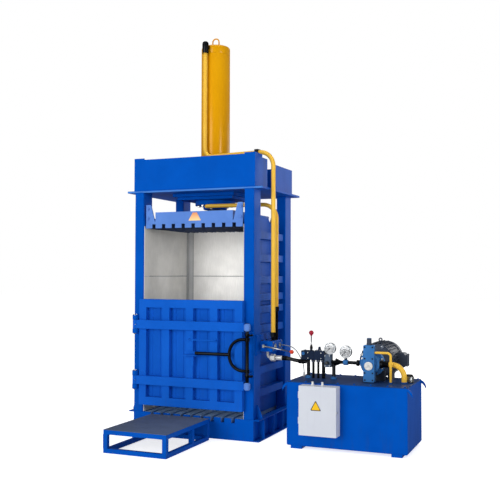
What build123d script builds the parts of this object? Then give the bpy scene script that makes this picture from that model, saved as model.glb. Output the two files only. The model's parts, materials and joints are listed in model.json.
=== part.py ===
"""A vertical recycling baler: press, door, platen, loading step and hydraulic power unit.

Millimetres, Z up, X to the right, Y away from the loading side.
The origin is on the floor at the centre of the press's footprint.
"""
from build123d import *
import math
import os

os.makedirs("parts", exist_ok=True)

# Press frame
press_half_width = 657
press_half_depth = 527
column_width = 100
column_depth = 180
column_wall = 8
column_corner = 10
base_height = 208
base_flange_tip = press_half_width + 57
base_web = 12
base_flange = 10
base_beam_wall = 10
base_stiffener = 8
base_stiffener_count = 4
base_stiffener_pitch = 255
anchor_radius = 11
anchor_x = press_half_width + 29
anchor_y = press_half_depth - 97
foot_gusset_height = 130
foot_gusset_thickness = 10

# Floor and platen bars with the strapping slots between them
bar_count = 10
bar_gap = 38
bar_pitch = 2 * (press_half_width - column_width - 2) / bar_count
bar_width = bar_pitch - bar_gap
bar_depth = 45
bar_wall = 5
sill_plate = 8

# Chamber
head_under = 2420
wall_top = head_under - 250
wall_step_y = (116, 206)
wall_low_top = wall_top - 90
wall_sheet = 6
liner_sheet = 4
liner_seam_height = 1570
liner_seam_gap = 2
rear_wall_back = press_half_depth - 45
rib_height = 70
rib_wall = 6
side_rib_reach = 80
rib_levels = (433, 655, 860, 1060, 1250, 1370, 1540, 1755, 1980)
rib_end_gap = 2

# Head
head_plate = 20
head_plate_back = press_half_depth + 23
head_plate_half_width = press_half_width + 89
head_half_width = press_half_width + 11
head_beam_height = 318
head_beam_plate = 16
head_return_depth = 190
rear_return_depth = 487
head_raise = 14
head_raise_width = 112
rear_beam_height = 275
inner_beam_inside = 182
inner_beam_heights = (305, 255)
inner_beam_half_widths = (press_half_width + 3, press_half_width - 7)
inner_beam_wall = 10

# Cylinder
barrel_radius = 150
bore_radius = barrel_radius - 23
stroke = 1350
cap_height = 87
cap_round = 26
mount_upper = (690, 600, 30)
mount_lower = (620, 520, 30)
mount_hole_gap = 2
flange_radius = barrel_radius + 59
flange_thickness = 50
flange_bolt_circle = barrel_radius + 21
flange_bolt_count = 8
flange_bolt_radius = 12
flange_bolt_gap = 1
bolt_across = 1.5 * flange_bolt_radius
bolt_head = 15
rod_radius = 75
gland_radius = rod_radius + 50
gland_height = 42
slide_gap = 0.1
piston_length = 120
piston_low_gap = 62
piston_top_gap = 8
eye_half_width = 36
eye_height = 95
eye_rod = 7

# Platen
platen_front = press_half_depth - 15
platen_back = press_half_depth - 72
platen_half_width = press_half_width - column_width - 22
platen_under = head_under - 364
platen_sole = 42
platen_bar_depth = 42
platen_plate = 24
platen_beam_height = 96
platen_edge_half = platen_half_width - 107
platen_horn_height = 172
platen_horn_top = 54
platen_horn_foot = 100
platen_horn_bolts = ((22, 30), (22, 132))
platen_rib = 14
platen_rib_x = (60, 240, 420)
platen_boss = 260
rod_flange_radius = 125
rod_flange = 30

# Door
door_half_width = press_half_width - 92
door_low = base_height + 79
door_high = 1342
door_front = press_half_depth + 60
door_gap = 2.5
door_skin = 6
door_rib_width = 80
door_rib_pitch = (2 * door_half_width - door_rib_width) / 4
door_rail = 82
hinge_bar_levels = (536, 1091)
hinge_bar_height = 85
hinge_bar_thickness = 30
hinge_x = 57 - press_half_width
hinge_pin_radius = 16
hinge_eye_radius = 26
lug_radius = 28
lug_height = 46
lug_gap = 2
pin_head_radius = 22
pin_head = 8
pull_low_x = 4
pull_high_x = door_rib_pitch + 33.5
pull_level = 956
pull_reach = 40
pull_radius = 6
rest_post_low = 700
rest_thickness = 6
rest_shelf_gap = 5

# Door latch
latch_x = press_half_width - 27
latch_y = -press_half_depth - 93
latch_shaft_radius = 17
latch_boss_radius = 30
latch_boss_height = 46
latch_boss_cone = 12
shaft_end_margin = 4
claw_levels = (636, 1020)
claw_thickness = 20
claw_hub_radius = 23
claw_inner = 46
claw_outer = 60
claw_start = -45
claw_tip = 2
claw_arm_angle = 14
keeper_pin_radius = 8
keeper_pin_offset = 35
keeper_ear = 8
keeper_ear_gap = 6
keeper_half_width = 18
keeper_nose_radius = 11
bow_levels = (680, 976)
bow_left_x = latch_x - 185
bow_round = 138
bow_radius = 15
handle_left_x = 84
rest_x = (handle_left_x - 125, handle_left_x + 16)
rest_post_x = (handle_left_x - 64, handle_left_x - 36)
handle_radius = 16

# Side valve on the right wall
valve_plate_x = (press_half_width, press_half_width + 12)
valve_plate_y = (-480, -90)
valve_plate_z = (815, 1015)
valve_body_x = (press_half_width + 12, press_half_width + 143)
valve_body_y = (-400, -130)
valve_body_z = (850, 950)
side_pivot = (press_half_width + 65, -440, 905)
side_lever_tip = (press_half_width + 355, -440, 861)
side_lever_radius = 7
knob_radius = 19
side_hub_radius = 16

# Yellow pipes and their fittings
cap_pipe_radius = 22
rod_pipe_radius = 20
cap_pipe_foot = valve_body_z[1] + 80
cap_pipe_bend = 150
riser_x = -32
riser_bend = 90
cross_level = head_under + 382
cap_drop = (press_half_width + 114, -305)
rod_drop = (press_half_width + 108, -200)
rod_cross_level = head_under - 132
rod_cross_x = 12
rod_port_bend = 32
rod_cross_y = -262
rod_pipe_foot = valve_body_z[1] + 325
union_height = 44
union_margin = 8
rod_pipe_bend = 140
elbow_radius = 33
riser_y = -barrel_radius - elbow_radius - 2
elbow_top_lift = 110
elbow_drop = 15
elbow_level_lift = 52
elbow_stub = 28
seat_gap = 0.3
clamp_x = press_half_width - 65
clamp_wall = 9
clamp_width = 40

# Loading step
step_x = (-404, 232)
step_y = (-press_half_depth - 941, -press_half_depth - 85)
step_height = 208
step_tube = 40
step_sheet = 3
step_middle_y = -press_half_depth - 443

# Tank of the power unit
unit_x = press_half_width + 373
tank_x = (unit_x, unit_x + 1110)
tank_y = (-620, 30)
tank_foot = 30
tank_lid_top = 610
tank_lid = 8
tank_wall = 5
skid_left = (unit_x + 36, unit_x + 142)
skid_right = (unit_x + 968, unit_x + 1064)
hook_thickness = 12
hook_reach = 46
hook_drop = 82
hook_root = 26
filler_x = unit_x + 1058
filler_y = -262
filler_neck_radius = 30
filler_neck_wall = 4
filler_neck_height = 14
filler_cap_radius = 38
filler_cap_height = 62
filler_cap_gap = 0.3

# Electrical box on the tank's front
box_x = (unit_x + 154, unit_x + 504)
box_z = (tank_lid_top - 460, tank_lid_top - 18)
box_body_depth = 90
box_door_depth = 30
box_wall = 3
box_door_gap = 0.5
box_hinge_offset = 6
box_knuckle_radius = 5
box_knuckle_length = 30
box_hinge_levels = (tank_lid_top - 330, tank_lid_top - 100)
box_pin_radius = 2.4
lock_level = tank_lid_top - 242
lock_radius = 9
lock_reach = 10
lock_shaft = 6
lock_hook = (18, 26)
box_knuckle_gap = 0.5
gland_x = (unit_x + 262, unit_x + 355)
gland_nut_radius = 11
gland_nut_height = 22
cable_gland_height = 34

# Valves and gauges on the tank lid
group_y = -300
valve_post_feet = ((unit_x + 102, 17), (unit_x + 151, 12), (unit_x + 200, 11), (unit_x + 252, 17))
post_foot_radius = 31
post_foot = 14
control_valve_x = (unit_x + 42, unit_x + 270)
control_valve_half_depth = 45
control_valve_z = (tank_lid_top + 173, tank_lid_top + 259)
lever_x = unit_x + 130
lever_ball_level = tank_lid_top + 427
lever_radius = 5
lever_pivot_lift = 10
adjuster_x = unit_x + 212
adjuster_radius = 17
adjuster_height = 38
relief_x = (unit_x + 270, unit_x + 333)
relief_half_depth = 40
relief_z = (tank_lid_top + 111, tank_lid_top + 230)
pump_level = tank_lid_top + 165
pipe_level = pump_level - 5
pressure_pipe_radius = 16
pressure_flange = (unit_x + 576, unit_x + 598)
support_post = (unit_x + 353, 17)
pressure_cone = (unit_x + 374, unit_x + 422)
pressure_cone_radius = 36
gauges_at = ((unit_x + 318, tank_lid_top + 284, 53), (unit_x + 470, tank_lid_top + 259, 57))
gauge_depth = 42
gauge_bezel = 6
gauge_recess = 5
gauge_stem = 9
relief_knob_at = (unit_x + 301, tank_lid_top + 152)
needle_thickness = 1.5
needle_hub = 5
needle_gap = 0.6

# Pump and motor
pump_x = unit_x + 725
pump_radius = 86
pump_flange_radius = 115
pump_flange_y = (-318, -282)
pump_y = (-400, -250)
control_half_width = 50
control_y = (-450, -400)
control_z = (tank_lid_top + 8, tank_lid_top + 342)
control_round = 10
plug_radius = 21
plug_height = 62
bell_y = (-250, -130)
bell_small = 92
bell_large = 163
bell_bore = 64
bell_foot = (100, -240, -200, 700)
motor_y = (-130, 215)
motor_radius = 156
fin_radius = 176
fin_count = 30
fin_free_angle = 36
fin_thickness = 6
motor_foot_x = 118
motor_foot_width = 44
motor_foot_y = (-105, 5)
cowl_back = 300
cowl_radius = 163
cowl_wall = 3
cowl_inside = 152
cowl_slot_count = 10
shaft_radius = 19
fan_radius = 140
fan_blades = 7
terminal_x = (pump_x + 105, pump_x + 243)
terminal_y = (40, 165)
terminal_z = (pump_level - 69, pump_level + 67)
terminal_chamfer = 26
motor_eye_y = 20
rotor_room = 92
motor_eye_radius = 20
motor_eye_rod = 6
suction_radius = 25
suction_y = -358
suction_drop_x = pump_x + 305
suction_bend = 110
drain_radius = 11
drain_level = pump_level + 110
drain_drop_x = pump_x + 197
drain_bend = 32
socket_height = 14
socket_wall = 10

# Hose and cable between the press and the power unit
hose_radius = 18
hose_fitting_radius = 22
hose_elbow_x = press_half_width + 55
hose_end = unit_x + 55
hose_points = ((208, -300, 784), (268, -300, 784), (373, -300, 762), (428, -300, 762))
cable_radius = 5
cable_points = (
    (143, -150, 896),
    (200, -150, 896),
    (293, -176, 872),
    (358, -195, 790),
    (396, -200, 705),
    (396, -200, 644),
)

# Heights and places worked out from the sizes above
beam_top = base_height - bar_depth
column_inside = press_half_width - column_width
column_back = press_half_depth - column_depth
wall_outside = column_inside
wall_inside = wall_outside - wall_sheet
liner_inside = wall_inside - liner_sheet
rear_wall_front = rear_wall_back - wall_sheet
liner_back = rear_wall_front - liner_sheet
head_top = head_under + head_plate
beam_level_top = head_top + head_beam_height
mount_under = head_under - mount_upper[2] - mount_lower[2]
flange_under = mount_under - flange_thickness
barrel_top = mount_under + stroke + piston_low_gap + piston_length + piston_top_gap
cap_top = barrel_top + cap_height
elbow_low = barrel_top - elbow_drop
elbow_level = barrel_top + elbow_level_lift
elbow_top = barrel_top + elbow_top_lift
hose_route = [(press_half_width + out, y, z) for out, y, z in hose_points]
cable_route = [(press_half_width + out, y, z) for out, y, z in cable_points]
platen_top = platen_under + platen_sole
piston_top = barrel_top - piston_top_gap
piston_under = piston_top - piston_length
rod_foot = platen_top + platen_plate + platen_beam_height - rod_flange - 18
hinge_y = -door_front - hinge_bar_thickness / 2
door_back = press_half_depth + door_gap
socket_top = tank_lid_top + socket_height
drain_y = (control_y[0] + control_y[1]) / 2
pivot_level = control_valve_z[1] + lever_pivot_lift


def block(x, y, z, mode=Mode.ADD):
    """A cuboid given as its ranges along X, Y and Z."""
    with Locations(((x[0] + x[1]) / 2, (y[0] + y[1]) / 2, (z[0] + z[1]) / 2)):
        Box(abs(x[1] - x[0]), abs(y[1] - y[0]), abs(z[1] - z[0]), mode=mode)


def upright(x, y, z, radius, mode=Mode.ADD):
    """A round bar standing along Z over the range z."""
    with Locations((x, y, (z[0] + z[1]) / 2)):
        Cylinder(radius, abs(z[1] - z[0]), mode=mode)


def crossbar(x, y, z, radius, mode=Mode.ADD):
    """A round bar lying along X over the range x."""
    with Locations(((x[0] + x[1]) / 2, y, z)):
        Cylinder(radius, abs(x[1] - x[0]), rotation=(0, 90, 0), mode=mode)


def pushbar(x, y, z, radius, mode=Mode.ADD):
    """A round bar lying along Y over the range y."""
    with Locations((x, (y[0] + y[1]) / 2, z)):
        Cylinder(radius, abs(y[1] - y[0]), rotation=(90, 0, 0), mode=mode)


def bent_rod(points, bend, radius):
    """A round rod along straight runs joined by tangent arcs."""
    with BuildLine() as route:
        FilletPolyline(*points, radius=bend)
    with BuildSketch(Plane(origin=route.line @ 0, z_dir=route.line % 0)) as section:
        Circle(radius)
    sweep(section.sketch, path=route.line)


def cord_bends(points):
    """The bend at each corner of a cord: 0.45 of its shorter run over the tangent of half the turn."""
    bends = []
    for before, corner, after in zip(points, points[1:], points[2:]):
        run_in = Vector(*corner) - Vector(*before)
        run_out = Vector(*after) - Vector(*corner)
        turn = math.radians(run_in.get_angle(run_out))
        bends.append(0.45 * min(run_in.length, run_out.length) / math.tan(turn / 2))
    return bends


# Base frame: outward channels, cross beams, notched front sill and anchor holes
with BuildPart() as base_frame:
    with BuildSketch(Plane.XZ.offset(press_half_depth)):
        with BuildLine():
            Polyline(
                (press_half_width - base_web, 0),
                (base_flange_tip, 0),
                (base_flange_tip, base_flange),
                (press_half_width, base_flange),
                (press_half_width, base_height - base_flange),
                (base_flange_tip, base_height - base_flange),
                (base_flange_tip, base_height),
                (press_half_width - base_web, base_height),
                close=True,
            )
        make_face()
        mirror(about=Plane.YZ)
    extrude(amount=-2 * press_half_depth)
    with BuildSketch(Plane.YZ.offset(-press_half_width + base_web)):
        for middle in (-press_half_depth + column_depth / 2, 0, press_half_depth - column_depth / 2):
            with Locations((middle, beam_top / 2)):
                Rectangle(column_depth, beam_top)
                Rectangle(column_depth - 2 * base_beam_wall, beam_top - 2 * base_beam_wall, mode=Mode.SUBTRACT)
    extrude(amount=2 * (press_half_width - base_web))
    with BuildSketch(Plane.XY.offset(beam_top)):
        with GridLocations(2 * press_half_width - column_width, 2 * press_half_depth - column_depth, 2, 2):
            Rectangle(column_width, column_depth)
    extrude(amount=bar_depth)
    with BuildSketch(Plane.XZ.offset(press_half_depth)):
        with Locations((0, base_height / 2)):
            Rectangle(2 * column_inside, base_height)
        with Locations((0, base_height - bar_depth / 2)):
            with GridLocations(bar_pitch, 1, bar_count - 1, 1):
                Rectangle(bar_pitch - bar_width, bar_depth, mode=Mode.SUBTRACT)
    extrude(amount=-sill_plate)
    with BuildSketch(Plane.XY.offset(base_flange)):
        stiffener_reach = base_flange_tip - press_half_width
        with GridLocations(press_half_width + base_flange_tip, base_stiffener_pitch, 2, base_stiffener_count):
            Rectangle(stiffener_reach, base_stiffener)
    extrude(amount=base_height - 2 * base_flange)
    with BuildSketch(Plane.XY):
        with GridLocations(2 * anchor_x, 2 * anchor_y, 2, 2):
            Circle(anchor_radius)
    extrude(amount=base_flange, mode=Mode.SUBTRACT)
base_frame.part.label = "base_frame"
export_step(base_frame.part, "parts/base_frame.step")


def channel_bars(front, back, level, depth):
    """The row of folded bars, open below, that leaves the strapping slots between them."""
    with BuildPart() as bars:
        with BuildSketch(Plane.XZ.offset(-front)):
            with Locations((0, level - depth / 2)):
                with GridLocations(bar_pitch, 1, bar_count, 1):
                    Rectangle(bar_width, depth)
            with Locations((0, level - depth / 2 - bar_wall)):
                with GridLocations(bar_pitch, 1, bar_count, 1):
                    Rectangle(bar_width - 2 * bar_wall, depth, mode=Mode.SUBTRACT)
        extrude(amount=front - back)
    return bars


# Floor bars, lying on the base beams behind the notched sill
floor_bars = channel_bars(sill_plate - press_half_depth, liner_back, base_height, bar_depth)
floor_bars.part.label = "floor_bars"
export_step(floor_bars.part, "parts/floor_bars.step")

# Four rectangular tube columns with foot gussets
with BuildPart() as columns:
    with BuildSketch(Plane.XY.offset(base_height)):
        with GridLocations(2 * press_half_width - column_width, 2 * press_half_depth - column_depth, 2, 2):
            RectangleRounded(column_width, column_depth, column_corner)
            Rectangle(column_width - 2 * column_wall, column_depth - 2 * column_wall, mode=Mode.SUBTRACT)
    extrude(amount=head_under - base_height)
    for y_middle in (-press_half_depth + column_depth / 2, press_half_depth - column_depth / 2):
        with BuildSketch(Plane.XZ.offset(-y_middle - foot_gusset_thickness / 2)):
            with BuildLine():
                Polyline(
                    (press_half_width - 1, base_height),
                    (base_flange_tip, base_height),
                    (base_flange_tip, base_height + 20),
                    (press_half_width + 12, base_height + foot_gusset_height),
                    (press_half_width - 1, base_height + foot_gusset_height),
                    close=True,
                )
            make_face()
            mirror(about=Plane.YZ)
        extrude(amount=foot_gusset_thickness)
columns.part.label = "columns"
export_step(columns.part, "parts/columns.step")


def side_wall(side):
    """One side wall: a sheet inside the columns and folded ribs between them."""
    with BuildPart() as wall:
        with BuildSketch(Plane.YZ.offset(side * wall_inside)):
            with BuildLine():
                Polyline(
                    (sill_plate - press_half_depth, base_height),
                    (sill_plate - press_half_depth, wall_top),
                    (wall_step_y[0], wall_top),
                    (wall_step_y[1], wall_low_top),
                    (rear_wall_front, wall_low_top),
                    (rear_wall_front, base_height),
                    close=True,
                )
            make_face()
        extrude(amount=side * wall_sheet)
        with BuildSketch(Plane.XZ.offset(column_back - rib_end_gap)):
            with Locations(*[(side * (wall_outside + side_rib_reach / 2), level) for level in rib_levels]):
                Rectangle(side_rib_reach, rib_height)
            inner_middle = wall_outside + (side_rib_reach - rib_wall) / 2
            with Locations(*[(side * inner_middle, level) for level in rib_levels]):
                Rectangle(side_rib_reach - rib_wall, rib_height - 2 * rib_wall, mode=Mode.SUBTRACT)
        extrude(amount=-2 * (column_back - rib_end_gap))
    return wall


side_wall_left = side_wall(-1)
side_wall_left.part.label = "side_wall_left"
export_step(side_wall_left.part, "parts/side_wall_left.step")
side_wall_right = side_wall(1)
side_wall_right.part.label = "side_wall_right"
export_step(side_wall_right.part, "parts/side_wall_right.step")

# Rear wall: a sheet in front of the rear columns and ribs between them
with BuildPart() as rear_wall:
    block((-wall_outside, wall_outside), (rear_wall_front, rear_wall_back), (base_height, wall_low_top))
    rear_rib_reach = press_half_depth - rear_wall_back
    with BuildSketch(Plane.YZ.offset(rib_end_gap - column_inside)):
        with Locations(*[(rear_wall_back + rear_rib_reach / 2, level) for level in rib_levels]):
            Rectangle(rear_rib_reach, rib_height)
        with Locations(*[(rear_wall_back + (rear_rib_reach - rib_wall) / 2, level) for level in rib_levels]):
            Rectangle(rear_rib_reach - rib_wall, rib_height - 2 * rib_wall, mode=Mode.SUBTRACT)
    extrude(amount=2 * (column_inside - rib_end_gap))
rear_wall.part.label = "rear_wall"
export_step(rear_wall.part, "parts/rear_wall.step")

# Bright liner sheets, an upper and a lower one on each wall
with BuildPart() as liner_sheets:
    lower = (base_height, liner_seam_height)
    upper = (liner_seam_height + liner_seam_gap, wall_low_top)
    for low, high in (lower, upper):
        for side in (-1, 1):
            block((side * liner_inside, side * wall_inside), (sill_plate - press_half_depth, liner_back), (low, high))
        block((-liner_inside, liner_inside), (liner_back, rear_wall_front), (low, high))
liner_sheets.part.label = "liner_sheets"
export_step(liner_sheets.part, "parts/liner_sheets.step")

# Head plate on the four columns
with BuildPart() as head_base:
    with BuildSketch(Plane.XY.offset(head_under)):
        with Locations((0, (head_plate_back - press_half_depth) / 2)):
            Rectangle(2 * head_plate_half_width, head_plate_back + press_half_depth)
        Circle(barrel_radius + mount_hole_gap, mode=Mode.SUBTRACT)
        with PolarLocations(flange_bolt_circle, flange_bolt_count, start_angle=22.5):
            Circle(flange_bolt_radius + flange_bolt_gap, mode=Mode.SUBTRACT)
    extrude(amount=head_plate)
head_base.part.label = "head_plate"
export_step(head_base.part, "parts/head_plate.step")

# Front head beam with raised corners, the lower rear one, and the end returns of both
with BuildPart() as head_beams:
    with BuildSketch(Plane.XZ.offset(press_half_depth)):
        with BuildLine():
            Polyline(
                (-head_half_width, head_top),
                (head_half_width, head_top),
                (head_half_width, beam_level_top + head_raise),
                (head_half_width - head_raise_width, beam_level_top + head_raise),
                (head_half_width - head_raise_width, beam_level_top),
                (head_raise_width - head_half_width, beam_level_top),
                (head_raise_width - head_half_width, beam_level_top + head_raise),
                (-head_half_width, beam_level_top + head_raise),
                close=True,
            )
        make_face()
    extrude(amount=-head_beam_plate)
    rear_span = (press_half_depth - head_beam_plate, press_half_depth)
    block((-head_half_width, head_half_width), rear_span, (head_top, head_top + rear_beam_height))
    ends = ((-1, head_return_depth, beam_level_top + head_raise), (1, rear_return_depth, head_top + rear_beam_height))
    for side, depth, level in ends:
        return_span = (side * press_half_depth, side * (press_half_depth - depth))
        for end in (-1, 1):
            block((end * (head_half_width - head_beam_plate), end * head_half_width), return_span, (head_top, level))
head_beams.part.label = "head_beams"
export_step(head_beams.part, "parts/head_beams.step")

# Two inner box beams, open below, that carry the cylinder's load along the head
with BuildPart() as head_inner_beams:
    inner_beam_outside = press_half_depth - head_return_depth
    for side, half_width, height in zip((-1, 1), inner_beam_half_widths, inner_beam_heights):
        span = (side * inner_beam_inside, side * (inner_beam_outside - rib_end_gap))
        block((-half_width, half_width), span, (head_top, head_top + height))
        hollow = (span[0] + side * inner_beam_wall, span[1] - side * inner_beam_wall)
        block(
            (inner_beam_wall - half_width, half_width - inner_beam_wall),
            hollow,
            (head_top, head_top + height - inner_beam_wall),
            mode=Mode.SUBTRACT,
        )
head_inner_beams.part.label = "head_inner_beams"
export_step(head_inner_beams.part, "parts/head_inner_beams.step")

# Stepped mounting plate under the head
with BuildPart() as cylinder_mount:
    with BuildSketch(Plane.XY.offset(head_under - mount_upper[2])):
        Rectangle(mount_upper[0], mount_upper[1])
    extrude(amount=mount_upper[2])
    with BuildSketch(Plane.XY.offset(mount_under)):
        Rectangle(mount_lower[0], mount_lower[1])
    extrude(amount=mount_lower[2])
    with BuildSketch(Plane.XY.offset(mount_under)):
        Circle(barrel_radius + mount_hole_gap)
        with PolarLocations(flange_bolt_circle, flange_bolt_count, start_angle=22.5):
            Circle(flange_bolt_radius + flange_bolt_gap)
    extrude(amount=head_under - mount_under, mode=Mode.SUBTRACT)
cylinder_mount.part.label = "cylinder_mount"
export_step(cylinder_mount.part, "parts/cylinder_mount.step")

# Cylinder barrel, which stands on the flange below the mounting plate
with BuildPart() as cylinder_barrel:
    with BuildSketch(Plane.XY.offset(mount_under)):
        Circle(barrel_radius)
        Circle(bore_radius, mode=Mode.SUBTRACT)
    extrude(amount=barrel_top - mount_under)
cylinder_barrel.part.label = "cylinder_barrel"
export_step(cylinder_barrel.part, "parts/cylinder_barrel.step")

# Gland that guides the rod, with the flange that bolts up under the mounting plate
with BuildPart() as cylinder_gland:
    with BuildSketch(Plane.XY.offset(flange_under - gland_height)):
        Circle(gland_radius)
        Circle(rod_radius + slide_gap, mode=Mode.SUBTRACT)
    extrude(amount=gland_height)
    chamfer(cylinder_gland.faces().sort_by(Axis.Z)[0].edges().sort_by(SortBy.RADIUS)[-1], length=8)
    with BuildSketch(Plane.XY.offset(flange_under)):
        Circle(flange_radius)
        Circle(rod_radius + slide_gap, mode=Mode.SUBTRACT)
        with PolarLocations(flange_bolt_circle, flange_bolt_count, start_angle=22.5):
            Circle(flange_bolt_radius + flange_bolt_gap, mode=Mode.SUBTRACT)
    extrude(amount=flange_thickness)
cylinder_gland.part.label = "cylinder_gland"
export_step(cylinder_gland.part, "parts/cylinder_gland.step")

# Cylinder cap with a rounded shoulder and the lifting eye welded on top
with BuildPart() as cylinder_cap:
    with BuildSketch(Plane.XY.offset(barrel_top)):
        Circle(barrel_radius)
    extrude(amount=cap_top - barrel_top)
    fillet(cylinder_cap.faces().sort_by(Axis.Z)[-1].edges(), radius=cap_round)
    bent_rod(
        (
            (-eye_half_width, 0, cap_top - eye_rod),
            (-eye_half_width, 0, cap_top + eye_height),
            (eye_half_width, 0, cap_top + eye_height),
            (eye_half_width, 0, cap_top - eye_rod),
        ),
        eye_half_width - 1,
        eye_rod,
    )
cylinder_cap.part.label = "cylinder_cap"
export_step(cylinder_cap.part, "parts/cylinder_cap.step")

# Flange bolts with their nuts on the head plate
with BuildPart() as flange_bolts:
    with PolarLocations(flange_bolt_circle, flange_bolt_count, start_angle=22.5) as bolt_places:
        pass
    for place in bolt_places.locations:
        centre = (place.position.X, place.position.Y)
        with BuildSketch(Plane.XY.offset(flange_under - bolt_head)):
            with Locations(centre):
                RegularPolygon(bolt_across, 6)
        extrude(amount=bolt_head)
        upright(centre[0], centre[1], (flange_under, head_top + 1.8 * bolt_head), flange_bolt_radius)
        with BuildSketch(Plane.XY.offset(head_top)):
            with Locations(centre):
                RegularPolygon(bolt_across, 6)
        extrude(amount=1.3 * bolt_head)
flange_bolts.part.label = "flange_bolts"
export_step(flange_bolts.part, "parts/flange_bolts.step")

# Ram rod with its piston and the flange that bolts to the platen
with BuildPart() as ram_rod:
    upright(0, 0, (rod_foot, piston_under), rod_radius)
    upright(0, 0, (rod_foot, rod_foot + rod_flange), rod_flange_radius)
    upright(0, 0, (piston_under, piston_top), bore_radius - slide_gap)
ram_rod.part.label = "ram_rod"
export_step(ram_rod.part, "parts/ram_rod.step")

# Platen weldment: plate, edge beams, corner horns, ribs and centre boss
with BuildPart() as platen_frame:
    beam_low = platen_top + platen_plate
    beam_high = beam_low + platen_beam_height
    block((-platen_half_width, platen_half_width), (-platen_front, platen_back), (platen_top, beam_low))
    for face, inward in ((-platen_front, 1), (platen_back, -1)):
        edge = (face, face + inward * platen_rib)
        block((-platen_edge_half, platen_edge_half), edge, (beam_low, beam_high))
        with BuildSketch(Plane(origin=(0, face, 0), x_dir=(inward, 0, 0), z_dir=(0, -inward, 0))):
            with BuildLine():
                Polyline(
                    (-platen_half_width, beam_low),
                    (platen_horn_foot - platen_half_width, beam_low),
                    (platen_horn_top - platen_half_width, beam_low + platen_horn_height),
                    (-platen_half_width, beam_low + platen_horn_height),
                    close=True,
                )
            make_face()
            mirror(about=Plane.YZ)
        extrude(amount=-platen_rib)
    for bolt_in, bolt_up in platen_horn_bolts:
        for side in (-1, 1):
            bolt_x = side * (platen_half_width - bolt_in)
            pushbar(bolt_x, (-platen_front - 7, -platen_front), beam_low + bolt_up, 9)
    for rib_x in platen_rib_x:
        for side in (-1, 1):
            middle = side * rib_x
            block(
                (middle - platen_rib / 2, middle + platen_rib / 2),
                (platen_rib - platen_front, platen_back - platen_rib),
                (beam_low, min(beam_high, rod_foot) if rib_x < rod_flange_radius else beam_high),
            )
    block((-platen_boss / 2, platen_boss / 2), (-platen_boss / 2, platen_boss / 2), (beam_low, rod_foot))
platen_frame.part.label = "platen_frame"
export_step(platen_frame.part, "parts/platen_frame.step")

# Platen bars, which leave the strapping slots above the bale
platen_bars = channel_bars(-platen_front, platen_back, platen_top, platen_bar_depth)
platen_bars.part.label = "platen_bars"
export_step(platen_bars.part, "parts/platen_bars.step")

# Door weldment: ribs and rails proud of the skin, with the shelf for the latch handle
with BuildPart() as door_panel:
    block((-door_half_width, door_half_width), (-door_front, -door_back), (door_low, door_high))
    half_bar = hinge_bar_height / 2
    rows = (
        (door_low + door_rail, hinge_bar_levels[0] - half_bar),
        (hinge_bar_levels[0] + half_bar, hinge_bar_levels[1] - half_bar),
        (hinge_bar_levels[1] + half_bar, door_high - door_rail),
    )
    with BuildSketch(Plane.XZ.offset(door_front)):
        for low, high in rows:
            with Locations((0, (low + high) / 2)):
                with GridLocations(door_rib_pitch, 1, 4, 1):
                    Rectangle(door_rib_pitch - door_rib_width, high - low)
    extrude(amount=-(door_front - door_back - door_skin), mode=Mode.SUBTRACT)
    handle_level = (bow_levels[0] + bow_levels[1]) / 2
    shelf_top = handle_level - handle_radius - rest_shelf_gap
    block(rest_post_x, (-door_front, -door_front - rest_thickness), (rest_post_low, shelf_top))
    block(rest_x, (-door_front, -door_front - rest_thickness), (shelf_top - rest_thickness, handle_level + 14))
    block(rest_x, (-door_front, latch_y - handle_radius), (shelf_top - rest_thickness, shelf_top))
door_panel.part.label = "door_panel"
export_step(door_panel.part, "parts/door_panel.step")

# Hinge bars across the door, with a hinge eye on the left and a latch bearing on the right
with BuildPart() as door_bars:
    for level in hinge_bar_levels:
        with BuildSketch(Plane.XY.offset(level - hinge_bar_height / 2)):
            with Locations(((hinge_x + latch_x) / 2, hinge_y)):
                Rectangle(latch_x - hinge_x, hinge_bar_thickness)
            with Locations((hinge_x, hinge_y)):
                Circle(hinge_eye_radius)
        extrude(amount=hinge_bar_height)
        with BuildSketch(Plane.XY.offset(level - hinge_bar_height / 2)):
            with Locations((latch_x, latch_y)):
                Rectangle(2 * latch_boss_radius + 16, 2 * latch_boss_radius + 8)
        extrude(amount=hinge_bar_height, mode=Mode.SUBTRACT)
        with BuildSketch(Plane.XY.offset(level - latch_boss_height / 2)):
            with Locations((latch_x, latch_y)):
                Circle(latch_boss_radius)
            with Locations((latch_x - 30, hinge_y)):
                Rectangle(60, hinge_bar_thickness)
        extrude(amount=latch_boss_height)
        for end in (-1, 1):
            tip = level + end * latch_boss_height / 2
            with Locations((latch_x, latch_y, tip + end * latch_boss_cone / 2)):
                Cone(
                    latch_boss_radius if end > 0 else latch_boss_radius * 0.6,
                    latch_boss_radius * 0.6 if end > 0 else latch_boss_radius,
                    latch_boss_cone,
                )
        span = (level - hinge_bar_height, level + hinge_bar_height)
        upright(hinge_x, hinge_y, span, hinge_pin_radius + slide_gap, mode=Mode.SUBTRACT)
        upright(latch_x, latch_y, span, latch_shaft_radius + slide_gap, mode=Mode.SUBTRACT)
door_bars.part.label = "door_bars"
export_step(door_bars.part, "parts/door_bars.step")

# Round-bar door pull across two ribs
with BuildPart() as door_pull:
    bent_rod(
        (
            (pull_low_x, -door_front, pull_level),
            (pull_low_x, -door_front - pull_reach, pull_level),
            (pull_high_x, -door_front - pull_reach, pull_level),
            (pull_high_x, -door_front, pull_level),
        ),
        20,
        pull_radius,
    )
door_pull.part.label = "door_pull"
export_step(door_pull.part, "parts/door_pull.step")

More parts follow.
